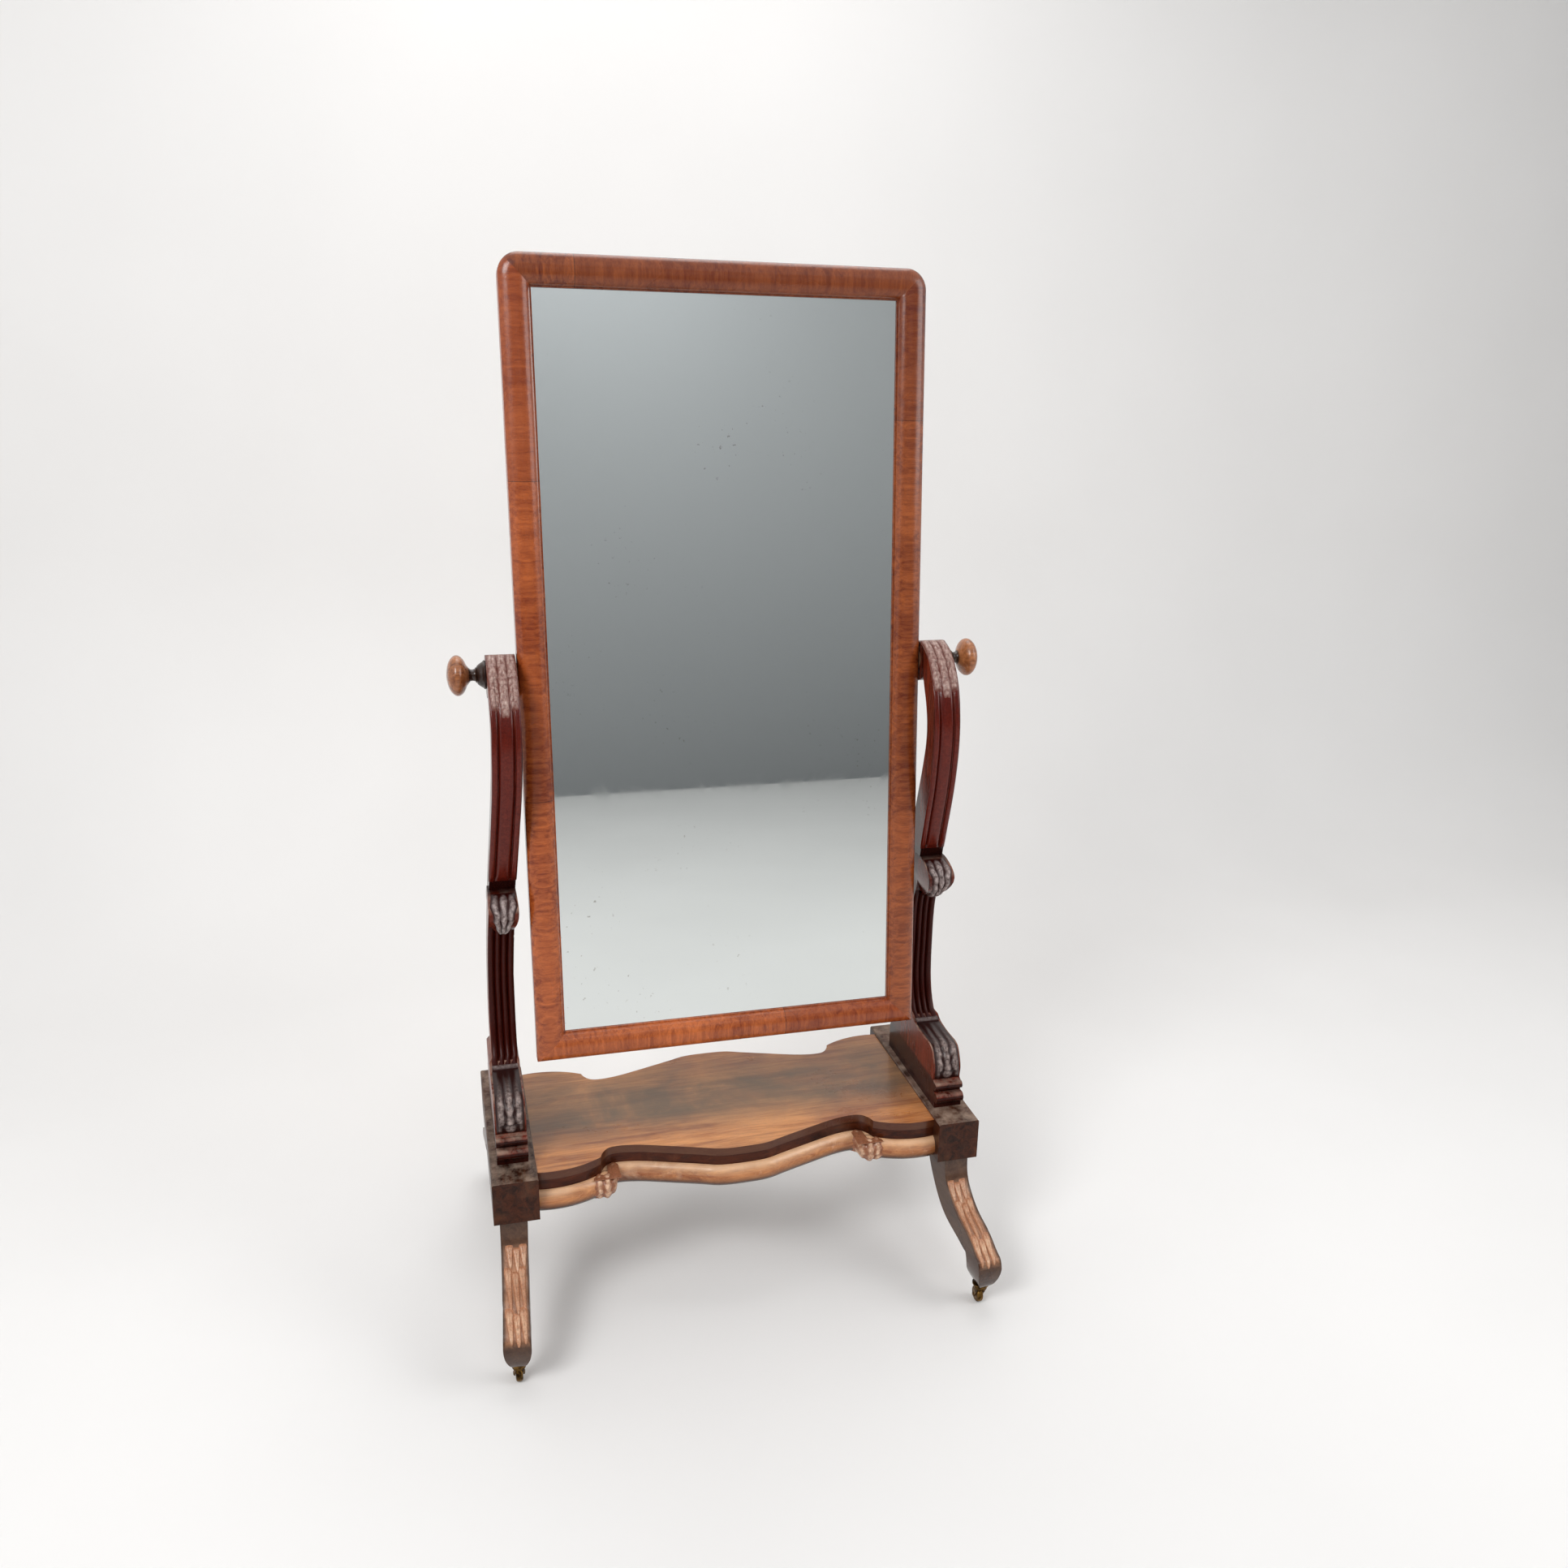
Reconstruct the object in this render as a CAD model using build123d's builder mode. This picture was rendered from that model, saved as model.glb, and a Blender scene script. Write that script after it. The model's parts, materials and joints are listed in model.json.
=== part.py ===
"""Cheval mirror: a tilting dressing mirror between two scrolled uprights on a serpentine platform.

Millimetres, +Z up. The origin is on the floor under the middle of the stand.
The front faces -Y, and X runs along the width.
"""
from build123d import *
import os
from math import cos, degrees, radians, sin

os.makedirs("parts", exist_ok=True)

# Looking glass and its frame, measured in the frame's own plane from the pivot axis
PIVOT_Z = 1075.0            # height of the pivot axis above the floor
REST_TILT = radians(4.8)    # the head leans back by this much
SIGHT_W = 558.0             # width of glass that shows
SIGHT_TOP = 557.0           # upper sight edge above the pivot
SIGHT_BOTTOM = 591.0        # lower sight edge below the pivot
MOULDING_W = 47.0           # face width of the cushion moulding
FRAME_BACK = -13.0          # rear face of the frame
FRAME_SIDE = 10.0           # where the straight side ends and the cushion starts
CROWN = 24.0                # top of the cushion
CORNER_R = 32.0             # rounded upper corners
REBATE_W = 10.0
GLASS_T = 5.0
GLASS_FRONT = 7.0
GLASS_EDGE_GAP = 3.0
BOARD_T = 8.0

# Stand
BLOCK_W = 73.0
BLOCK_L = 372.0
BLOCK_TOP = 297.0
BLOCK_BOTTOM = 223.5
BASE_W = 828.0
EDGE_SOFT = 2.0

# Uprights: x of the inner and outer faces, which draw in towards the pivot
FOOT_IN = 352.0
FOOT_OUT = 402.0
WAIST_IN = 353.0
WAIST_OUT = 396.0
HEAD_IN = 328.5
HEAD_OUT = 373.0
EYE_R = 33.0                # scroll eye that holds the pivot
BUSH_R = 7.0
TENON_L = 150.0
TENON_W = 28.0
TENON_H = 40.0

# Platform
SHELF_TOP = 293.0
SHELF_T = 14.0
BOW_Y = 163.0               # front of the middle bow
NECK_Y = 112.0              # the drawn-in necks
END_Y = 160.0               # front of the small end bows
CUSP_X = 236.0
APRON_T = 18.0
APRON_SET = 2.0
APRON_BOTTOM = 224.0
TORUS_R = 19.0
TORUS_Z = 241.5
TORUS_OUT = 13.0
KNUCKLE_X = 231.0
KNUCKLE_Y = 137.0
KNUCKLE_R = 20.0
BATTEN_W = 40.0

# Legs
LEG_W = 44.0
LEG_SPLAY = radians(4.0)    # the feet turn out by this much
LEG_ORIGIN_X = 370.5
SPIGOT_R = 12.0
SPIGOT_H = 36.0
SPIGOT_S = 134.0
SOLE_Z = 44.0
CASTOR_S = 289.0            # castor post from the middle of the stand, along the leg

# Castors
WHEEL_R = 14.0
WHEEL_W = 11.0
CASTOR_TRAIL = 9.0
POST_R = 3.5
POST_FIT = 0.06
AXLE_R = 2.0

# Knobs and movements
STUD_R = 5.0
STUD_FIT = 0.06
KNOB_R = 31.0
NECK_R = 10.0
HEAD_HALF = 16.0            # half the thickness of a knob's turned head
COLLAR_R = 22.0
COLLAR_L = 13.0
PLATE_T = 3.0
SLEEVE_L = 17.0
PLATE_SCREW_L = 16.0
WASHER_T = 2.2
BIG = 100.0                 # more than the frame's thickness, for cuts


def save(builder, name):
    """Name a finished piece and write it."""
    builder.part.label = name
    export_step(builder.part, f"parts/{name}.step")


def mirrored(builder, name):
    """Write the right hand twin of a left hand piece."""
    with BuildPart() as twin:
        mirror(builder.part, about=Plane.YZ)
    save(twin, name)
    return twin


# Planes of the looking glass: x across, y up the glass, z out of its face
GLASS_OUT = Vector(0, -cos(REST_TILT), sin(REST_TILT))
GLASS_UP = Vector(0, sin(REST_TILT), cos(REST_TILT))
FACE = Plane(origin=(0, 0, PIVOT_Z), x_dir=(1, 0, 0), z_dir=GLASS_OUT)
HALF_W = SIGHT_W / 2 + MOULDING_W
HEAD_V = SIGHT_TOP + MOULDING_W
FOOT_V = -SIGHT_BOTTOM - MOULDING_W
PLATE_TURN = -degrees(REST_TILT)
BLOCK_X = (BASE_W - BLOCK_W) / 2
SHELF_HALF = BASE_W / 2 - BLOCK_W


# Plinth blocks
with BuildPart() as left_plinth_block:
    with BuildSketch(Plane.XY.offset(BLOCK_BOTTOM)):
        with Locations((-BLOCK_X, 0)):
            Rectangle(BLOCK_W, BLOCK_L)
    extrude(amount=BLOCK_TOP - BLOCK_BOTTOM)
    chamfer(left_plinth_block.edges().filter_by(Axis.Y).group_by(Axis.Z)[-1], EDGE_SOFT)
    with BuildSketch(Plane.XY.offset(BLOCK_TOP)):
        with Locations((-(FOOT_IN + FOOT_OUT) / 2, -15)):
            Rectangle(TENON_W, TENON_L)
    extrude(amount=-TENON_H, mode=Mode.SUBTRACT)
    with BuildSketch(Plane.XY.offset(BLOCK_BOTTOM)):
        spigot_x = LEG_ORIGIN_X + SPIGOT_S * sin(LEG_SPLAY)
        spigot_y = SPIGOT_S * cos(LEG_SPLAY)
        with Locations((-spigot_x, -spigot_y), (-spigot_x, spigot_y)):
            Circle(SPIGOT_R)
    extrude(amount=SPIGOT_H, mode=Mode.SUBTRACT)
save(left_plinth_block, "left_plinth_block")
right_plinth_block = mirrored(left_plinth_block, "right_plinth_block")


# Uprights. The side outline is an S: a bowed head, a waist and a scrolled foot.
LOWER_FRONT = [(-22, 406), (0, 418), (20, 450), (28.5, 500), (27, 550), (16, 628), (-2, 675), (-15, 727)]
UPPER_FRONT = [(-15, 727), (-41, 794), (-74, 880), (-90, 960), (-80, 1036), (-44, 1086), (0, PIVOT_Z + 30)]
REAR = [(-30, 1052), (-52, 1004), (-58, 968), (-44, 910), (2, 810), (50, 690), (75, 570), (78, 490),
        (84, 420), (100, 355)]
SCROLL_CENTRE = (0, PIVOT_Z - 3)


def side_outline():
    """Side outline of an upright, y across and z up."""
    with BuildSketch(Plane.YZ) as outline:
        with BuildLine():
            Polyline((104, 345), (106, 340), (106, BLOCK_TOP), (-130, BLOCK_TOP), (-130, 309))
            ThreePointArc((-130, 309), (-141, 317), (-130, 325))
            Polyline((-130, 325), (-124, 325), (-124, 331))
            ThreePointArc((-124, 331), (-133.5, 337), (-124, 343))
            Line((-124, 343), (-118, 346))
            Spline((-118, 346), (-120, 366), (-110, 391), (-88, 404), tangents=((0, 1), (1, 0.1)))
            Spline((-88, 404), (-55, 403), (-22, 406))
            Spline(*LOWER_FRONT)
            Spline(*UPPER_FRONT, tangents=((-0.35, 1), (1, 0.12)))
            ThreePointArc((0, PIVOT_Z + 30), (EYE_R * 0.8, PIVOT_Z), (-30, 1052))
            Spline(*REAR, (104, 345), tangents=((-0.4, -1), (0.12, -1)))
        make_face()
        with Locations(SCROLL_CENTRE):
            Circle(EYE_R)
    return outline.sketch


def front_outline():
    """Front outline of the right hand upright: the two faces that draw in towards the head."""
    with BuildSketch(Plane.XZ.offset(200)) as outline:
        with BuildLine():
            Polyline((FOOT_IN, BLOCK_TOP), (FOOT_OUT, BLOCK_TOP), (FOOT_OUT, 414), (WAIST_OUT + 1, 420))
            Spline((WAIST_OUT + 1, 420), (WAIST_OUT - 1, 560), (387, 729), (376.6, 915), (HEAD_OUT, 1010))
            Polyline((HEAD_OUT, 1010), (HEAD_OUT, 1110), (HEAD_IN, 1110), (HEAD_IN, 1010))
            Spline((HEAD_IN, 1010), (331.5, 915), (345.5, 729), (WAIST_IN, 560), (WAIST_IN + 1, 420))
            Polyline((WAIST_IN + 1, 420), (FOOT_IN, 414), (FOOT_IN, BLOCK_TOP))
        make_face()
    return outline.sketch


def centre_x(z):
    """Middle of the upright's front face at height z."""
    heights = (420, 560, 729, 915, 1010)
    middles = (375, 374, 366.2, 354, 350.7)
    for i in range(len(heights) - 1):
        if z <= heights[i + 1]:
            part = (z - heights[i]) / (heights[i + 1] - heights[i])
            return middles[i] + (middles[i + 1] - middles[i]) * max(part, 0)
    return middles[-1]


def groove(points, offset, radius, lift):
    """A hollow worked along the front face, offset sideways from its middle."""
    with BuildLine() as path:
        Spline(*[(centre_x(z) + offset, y - lift, z) for y, z in points])
    with BuildPart() as hollow:
        with BuildSketch(Plane(origin=path.line @ 0, z_dir=path.line % 0)):
            Circle(radius)
        sweep(path=path.line)
    return hollow.part


def leaf_terminal():
    """The curled leaf that ends the bowed head, a tongue that hangs over the waist."""
    with BuildPart() as leaf:
        with BuildSketch(Plane.YZ.offset(320)):
            with BuildLine():
                Line((5, 729), (-15, 729))
                Spline((-15, 729), (-46, 722), (-67, 704), (-58, 684), (-30, 663), (8, 648))
                Polyline((8, 648), (28, 660), (5, 729))
            make_face()
        extrude(amount=90)
        with BuildSketch(Plane.XZ.offset(200)):
            middle = centre_x(700)
            with BuildLine():
                Polyline((middle - 22, 730), (middle + 22, 730))
                Spline((middle + 22, 730), (middle + 23, 700), (middle + 2, 646))
                Line((middle + 2, 646), (middle - 2, 646))
                Spline((middle - 2, 646), (middle - 23, 700), (middle - 22, 730))
            make_face()
        extrude(amount=-300, mode=Mode.INTERSECT)
    return leaf.part


REED_PATH = [(-2, 416), (20, 450), (28.5, 500), (27, 550), (16, 628), (6, 655)]
HEAD_PATH = [(-23, 748), (-41, 794), (-74, 880), (-90, 960), (-80, 1036), (-50, 1080)]
terminal = leaf_terminal()
hollows = [groove(REED_PATH, side, 3.4, 0.8) for side in (-10.5, 0, 10.5)]
hollows += [groove(HEAD_PATH, side, 3.2, 1.0) for side in (-11, 11)]

with BuildPart() as right_upright:
    extrude(side_outline(), amount=420)
    extrude(front_outline(), amount=-400, mode=Mode.INTERSECT)
    add(terminal)
    for hollow in hollows:
        add(hollow, mode=Mode.SUBTRACT)
    with BuildSketch(Plane.XY.offset(BLOCK_TOP)):
        with Locations(((FOOT_IN + FOOT_OUT) / 2, -15)):
            Rectangle(TENON_W, TENON_L)
    extrude(amount=-TENON_H)
    with BuildSketch(Plane.YZ.offset(HEAD_IN - 10)):
        with Locations((0, PIVOT_Z)):
            Circle(BUSH_R)
    extrude(amount=HEAD_OUT - HEAD_IN + 20, mode=Mode.SUBTRACT)
save(right_upright, "right_upright")
left_upright = mirrored(right_upright, "left_upright")


# Serpentine platform: a middle bow, two drawn-in necks and two small end bows
def serpentine(set_back):
    """One half of the front edge from the plinth block to the middle, as open edges."""
    with BuildLine() as half:
        ThreePointArc((SHELF_HALF, -END_Y + set_back), (296, -END_Y - 1 + set_back),
                      (CUSP_X, -139 + set_back))
        Spline((CUSP_X, -139 + set_back), (228, -122 + set_back), (214, -NECK_Y - 1 + set_back),
               tangents=((-0.2, 1), (-1, 0.15)))
        Spline((214, -NECK_Y - 1 + set_back), (190, -NECK_Y - 1.5 + set_back), (127, -131 + set_back),
               (60, -154 + set_back), (0, -BOW_Y + set_back), tangents=((-1, 0.15), (-1, 0)))
    return half.line


with BuildPart() as shelf_board:
    with BuildSketch(Plane.XY.offset(SHELF_TOP - SHELF_T)):
        with BuildLine():
            right_half = serpentine(0)
            add(right_half)
            add(mirror(right_half, about=Plane.YZ, mode=Mode.PRIVATE))
            add(mirror(right_half, about=Plane.XZ, mode=Mode.PRIVATE))
            turned = mirror(right_half, about=Plane.YZ, mode=Mode.PRIVATE)
            add(mirror(turned, about=Plane.XZ, mode=Mode.PRIVATE))
            Line((SHELF_HALF, -END_Y), (SHELF_HALF, END_Y))
            Line((-SHELF_HALF, -END_Y), (-SHELF_HALF, END_Y))
        make_face()
    extrude(amount=SHELF_T)
save(shelf_board, "shelf_board")

with BuildPart() as front_apron:
    with BuildSketch(Plane.XY.offset(APRON_BOTTOM)):
        with BuildLine():
            outer_half = serpentine(APRON_SET)
            inner_half = serpentine(APRON_SET + APRON_T)
            add(outer_half)
            add(mirror(outer_half, about=Plane.YZ, mode=Mode.PRIVATE))
            add(inner_half)
            add(mirror(inner_half, about=Plane.YZ, mode=Mode.PRIVATE))
            for side in (-1, 1):
                Line((side * SHELF_HALF, -END_Y + APRON_SET), (side * SHELF_HALF, -END_Y + APRON_SET + APRON_T))
        make_face()
    extrude(amount=SHELF_TOP - SHELF_T - APRON_BOTTOM)
save(front_apron, "front_apron")
with BuildPart() as rear_apron:
    mirror(front_apron.part, about=Plane.XZ)
save(rear_apron, "rear_apron")


# Half round moulding along the foot of each apron, in three lengths that stop at two carved knuckles
KNUCKLE_SPOTS = [(-KNUCKLE_X, -KNUCKLE_Y, TORUS_Z), (KNUCKLE_X, -KNUCKLE_Y, TORUS_Z)]


def apron_space():
    """All that lies behind the front apron's face, and past the ends of the platform."""
    with BuildPart() as space:
        with BuildSketch(Plane.XY.offset(APRON_BOTTOM - TORUS_R)):
            with BuildLine():
                face_half = serpentine(APRON_SET)
                add(face_half)
                add(mirror(face_half, about=Plane.YZ, mode=Mode.PRIVATE))
                for side in (-1, 1):
                    Polyline((side * SHELF_HALF, -END_Y + APRON_SET), (side * SHELF_HALF, -2 * BIG),
                             (side * BASE_W / 2, -2 * BIG), (side * BASE_W / 2, 0))
                Line((BASE_W / 2, 0), (-BASE_W / 2, 0))
            make_face()
        extrude(amount=4 * TORUS_R)
    return space.part


def moulding_length(run, space):
    """One length of moulding, swept along a run of the apron's face and stopped at the knuckles."""
    path = run.moved(Location((0, 0, TORUS_Z)))
    with BuildPart() as length:
        with BuildSketch(Plane(origin=path @ 0, x_dir=(-(path % 0).Y, (path % 0).X, 0), z_dir=path % 0)):
            Ellipse(TORUS_OUT, TORUS_R)
        sweep(path=path)
        add(space, mode=Mode.SUBTRACT)
        with Locations(*KNUCKLE_SPOTS):
            Sphere(KNUCKLE_R + 0.3, rotation=(90, 0, 0), mode=Mode.SUBTRACT)
    return length.part


behind = apron_space()
end_run, bow_run = serpentine(APRON_SET).edges().sort_by(Axis.X, reverse=True)
end_length = moulding_length(end_run, behind)
bow_half = moulding_length(bow_run, behind)
with BuildPart() as bow_length:
    add(bow_half)
    mirror(bow_half, about=Plane.YZ)
with BuildPart() as knuckles:
    with Locations(*KNUCKLE_SPOTS):
        Sphere(KNUCKLE_R, rotation=(90, 0, 0))
    add(behind, mode=Mode.SUBTRACT)
with BuildPart() as front_moulding:
    add(end_length)
    mirror(end_length, about=Plane.YZ)
    add(bow_length.part)
    add(knuckles.part)
save(front_moulding, "front_moulding")
with BuildPart() as rear_moulding:
    mirror(front_moulding.part, about=Plane.XZ)
save(rear_moulding, "rear_moulding")

# Inside the platform: battens across under the shelf, and glue blocks in the corners
with BuildPart() as cross_battens:
    with BuildSketch(Plane.XY.offset(SHELF_TOP - SHELF_T)):
        with Locations((-150, 0), (150, 0)):
            Rectangle(BATTEN_W, 2 * (NECK_Y - APRON_T - APRON_SET - 2))
    extrude(amount=-BATTEN_W / 2)
save(cross_battens, "cross_battens")
with BuildPart() as glue_blocks:
    with BuildSketch(Plane.XY.offset(SHELF_TOP - SHELF_T)):
        with GridLocations(2 * (SHELF_HALF - 12.5), 100, 2, 3):
            Rectangle(25, 60)
    extrude(amount=-25)
save(glue_blocks, "glue_blocks")


# Legs: a cabriole leg sawn in its own upright plane, which turns out from the stand
def leg_plane():
    """Plane of the right front leg: x runs out along the leg, y is up."""
    return Plane(origin=(LEG_ORIGIN_X, 0, 0), x_dir=(sin(LEG_SPLAY), -cos(LEG_SPLAY), 0),
                 z_dir=(-cos(LEG_SPLAY), -sin(LEG_SPLAY), 0))


def on_leg(s, across, z):
    """A point given along the leg, across it and up."""
    return (LEG_ORIGIN_X + s * sin(LEG_SPLAY) + across * cos(LEG_SPLAY),
            -s * cos(LEG_SPLAY) + across * sin(LEG_SPLAY), z)


SCREW_SPOTS = [(CASTOR_S + 11.0, 0), (CASTOR_S - 5.5, 9.5), (CASTOR_S - 5.5, -9.5)]

with BuildPart() as right_front_leg:
    with BuildSketch(leg_plane()):
        with BuildLine():
            Line((98, BLOCK_BOTTOM), (171, BLOCK_BOTTOM))
            Spline((171, BLOCK_BOTTOM), (177, 182), (202, 153), (236, 135), (275, 123), (304, 106), (318, 86),
                   tangents=((0.1, -1), (0.2, -1)))
            Spline((318, 86), (314, 64), (303, SOLE_Z), tangents=((0, -1), (-1, -0.8)))
            Line((303, SOLE_Z), (275, SOLE_Z))
            Spline((275, SOLE_Z), (269, 58), (271, 78), (266, 94), tangents=((-0.8, 0.8), (-0.5, 0.8)))
            Spline((266, 94), (240, 99), (204, 106), (172, 117), (140, 143), (114, 180), (98, BLOCK_BOTTOM),
                   tangents=((-1, 0.05), (-0.2, 1)))
        make_face()
    extrude(amount=LEG_W / 2, both=True)
    with BuildSketch(Plane(origin=on_leg(200, 0, 0), x_dir=(cos(LEG_SPLAY), sin(LEG_SPLAY), 0),
                           z_dir=(sin(LEG_SPLAY), -cos(LEG_SPLAY), 0))):
        with BuildLine():
            Polyline((-15, SOLE_Z), (15, SOLE_Z))
            Spline((15, SOLE_Z), (21, 58), (22, 80), (20.5, 130), (22, BLOCK_BOTTOM), tangents=((1, 1), (0, 1)))
            Line((22, BLOCK_BOTTOM), (-22, BLOCK_BOTTOM))
            Spline((-22, BLOCK_BOTTOM), (-20.5, 130), (-22, 80), (-21, 58), (-15, SOLE_Z),
                   tangents=((0, -1), (1, -1)))
        make_face()
    extrude(amount=150, both=True, mode=Mode.INTERSECT)
    with BuildSketch(Plane.XY.offset(BLOCK_BOTTOM)):
        with Locations(on_leg(SPIGOT_S, 0, 0)[:2]):
            Circle(SPIGOT_R)
    extrude(amount=SPIGOT_H)
    with BuildSketch(Plane.XY.offset(SOLE_Z)):
        for spot in SCREW_SPOTS:
            with Locations(on_leg(*spot, 0)[:2]):
                Circle(1.4)
    extrude(amount=12, mode=Mode.SUBTRACT)


# Castors: a plate with its post under the toe, a swivelling horn, an axle and a wheel
PLATE_Z = SOLE_Z - 2.5
HORN_TOP = PLATE_Z - 0.4
HORN_BOTTOM = 33.5
WHEEL_Y = CASTOR_TRAIL
CHEEK_X = WHEEL_W / 2 + 0.7
CHEEK_T = 2.2
CASTOR_X, CASTOR_Y, _ = on_leg(CASTOR_S, 0, 0)

with BuildPart() as right_front_castor_plate:
    with BuildSketch(Plane.XY.offset(PLATE_Z)):
        with Locations((CASTOR_X, CASTOR_Y)):
            Circle(14.5)
        for spot in SCREW_SPOTS:
            with Locations(on_leg(*spot, 0)[:2]):
                Circle(1.4, mode=Mode.SUBTRACT)
    extrude(amount=SOLE_Z - PLATE_Z)
    with BuildSketch(Plane.XY.offset(PLATE_Z)):
        with Locations((CASTOR_X, CASTOR_Y)):
            Circle(POST_R)
    extrude(amount=-(PLATE_Z - HORN_BOTTOM + 2.4))
    with BuildSketch(Plane.XY.offset(HORN_BOTTOM - 0.4)):
        with Locations((CASTOR_X, CASTOR_Y)):
            Circle(POST_R + 1.6)
    extrude(amount=-2)

with BuildPart() as right_front_castor_horn:
    with BuildSketch(Plane.XY.offset(HORN_BOTTOM)):
        with Locations((CASTOR_X, CASTOR_Y)):
            Circle(11)
    extrude(amount=HORN_TOP - HORN_BOTTOM)
    for side in (-1, 1):
        with BuildSketch(Plane.YZ.offset(CASTOR_X + side * (CHEEK_X + CHEEK_T / 2))):
            with Locations((CASTOR_Y, HORN_BOTTOM + 2)):
                Rectangle(13, 4)
            with Locations((CASTOR_Y + WHEEL_Y, WHEEL_R)):
                Circle(4.2)
            make_hull()
        extrude(amount=CHEEK_T / 2, both=True)
    with BuildSketch(Plane.XY.offset(HORN_TOP)):
        with Locations((CASTOR_X, CASTOR_Y)):
            Circle(POST_R + POST_FIT)
    extrude(amount=-(HORN_TOP - HORN_BOTTOM), mode=Mode.SUBTRACT)
    with BuildSketch(Plane.YZ.offset(CASTOR_X)):
        with Locations((CASTOR_Y + WHEEL_Y, WHEEL_R)):
            Circle(AXLE_R)
    extrude(amount=20, both=True, mode=Mode.SUBTRACT)

with BuildPart() as right_front_castor_axle:
    with BuildSketch(Plane.YZ.offset(CASTOR_X)):
        with Locations((CASTOR_Y + WHEEL_Y, WHEEL_R)):
            Circle(AXLE_R)
    extrude(amount=CHEEK_X + CHEEK_T, both=True)
    for side in (-1, 1):
        with BuildSketch(Plane.YZ.offset(CASTOR_X + side * (CHEEK_X + CHEEK_T))):
            with Locations((CASTOR_Y + WHEEL_Y, WHEEL_R)):
                Circle(AXLE_R + 1)
        extrude(amount=side * 0.8)

with BuildPart() as right_front_castor_wheel:
    with BuildSketch(Plane.XY.offset(WHEEL_R)):
        with BuildLine():
            Polyline((CASTOR_X - WHEEL_W / 2, CASTOR_Y + WHEEL_Y + AXLE_R + POST_FIT),
                     (CASTOR_X - WHEEL_W / 2, CASTOR_Y + WHEEL_Y + WHEEL_R - 3))
            Spline((CASTOR_X - WHEEL_W / 2, CASTOR_Y + WHEEL_Y + WHEEL_R - 3),
                   (CASTOR_X, CASTOR_Y + WHEEL_Y + WHEEL_R),
                   (CASTOR_X + WHEEL_W / 2, CASTOR_Y + WHEEL_Y + WHEEL_R - 3), tangents=((0.3, 1), (0.3, -1)))
            Polyline((CASTOR_X + WHEEL_W / 2, CASTOR_Y + WHEEL_Y + WHEEL_R - 3),
                     (CASTOR_X + WHEEL_W / 2, CASTOR_Y + WHEEL_Y + AXLE_R + POST_FIT),
                     (CASTOR_X - WHEEL_W / 2, CASTOR_Y + WHEEL_Y + AXLE_R + POST_FIT))
        make_face()
    revolve(axis=Axis((CASTOR_X, CASTOR_Y + WHEEL_Y, WHEEL_R), (1, 0, 0)))

with BuildPart() as castor_screw_set:
    with BuildSketch(Plane.XY.offset(PLATE_Z)):
        for spot in SCREW_SPOTS:
            with Locations(on_leg(*spot, 0)[:2]):
                Circle(1.4)
    extrude(amount=13)

CORNER_PIECES = {
    "leg": right_front_leg,
    "castor_plate": right_front_castor_plate,
    "castor_horn": right_front_castor_horn,
    "castor_axle": right_front_castor_axle,
    "castor_wheel": right_front_castor_wheel,
}
for piece, pattern in CORNER_PIECES.items():
    save(pattern, f"right_front_{piece}")
    with BuildPart() as left_front:
        mirror(pattern.part, about=Plane.YZ)
    save(left_front, f"left_front_{piece}")
    with BuildPart() as right_rear:
        mirror(pattern.part, about=Plane.XZ)
    save(right_rear, f"right_rear_{piece}")
    with BuildPart() as left_rear:
        mirror(right_rear.part, about=Plane.YZ)
    save(left_rear, f"left_rear_{piece}")

with BuildPart() as castor_screws:
    add(castor_screw_set)
    mirror(castor_screw_set.part, about=Plane.YZ)
    mirror(castor_screws.part, about=Plane.XZ)
save(castor_screws, "castor_screws")


# Looking glass frame: four mitred lengths of cushion moulding, the upper corners rounded
def on_face(u, v, n):
    """A point of the looking glass frame: across, up and out of its face."""
    return Vector(0, 0, PIVOT_Z) + Vector(u, 0, 0) + GLASS_UP * v + GLASS_OUT * n


def cushion(plane, sight_edge, start=None):
    """Section of the moulding, sight edge at the left; start drops what lies left of it."""
    with BuildSketch(plane) as section:
        with BuildLine():
            Polyline((sight_edge, GLASS_FRONT + 3), (sight_edge, FRAME_BACK),
                     (sight_edge + MOULDING_W, FRAME_BACK), (sight_edge + MOULDING_W, FRAME_SIDE))
            EllipticalCenterArc((sight_edge + MOULDING_W / 2 + 1, FRAME_SIDE), MOULDING_W / 2 - 1,
                                CROWN - FRAME_SIDE, 0, arc_size=180)
            Line((sight_edge + 2, FRAME_SIDE), (sight_edge, GLASS_FRONT + 3))
        make_face()
        if start is not None:
            with Locations((start + BIG / 2, 0)):
                Rectangle(BIG, BIG, mode=Mode.INTERSECT)
    return section.sketch


def rounded_corner(turn):
    """Half of the rounded upper right corner, swung from its side towards the mitre."""
    across = turn > 0
    centre_u = HALF_W - CORNER_R
    centre_v = HEAD_V - CORNER_R
    x_dir = Vector(1, 0, 0) if across else GLASS_UP
    z_dir = -GLASS_UP if across else Vector(1, 0, 0)
    section = cushion(Plane(origin=on_face(centre_u, centre_v, 0), x_dir=x_dir, z_dir=z_dir),
                      CORNER_R - MOULDING_W, start=0)
    with BuildPart() as corner:
        revolve(section, axis=Axis(on_face(centre_u, centre_v, 0), GLASS_OUT), revolution_arc=turn)
    return corner.part


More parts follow.
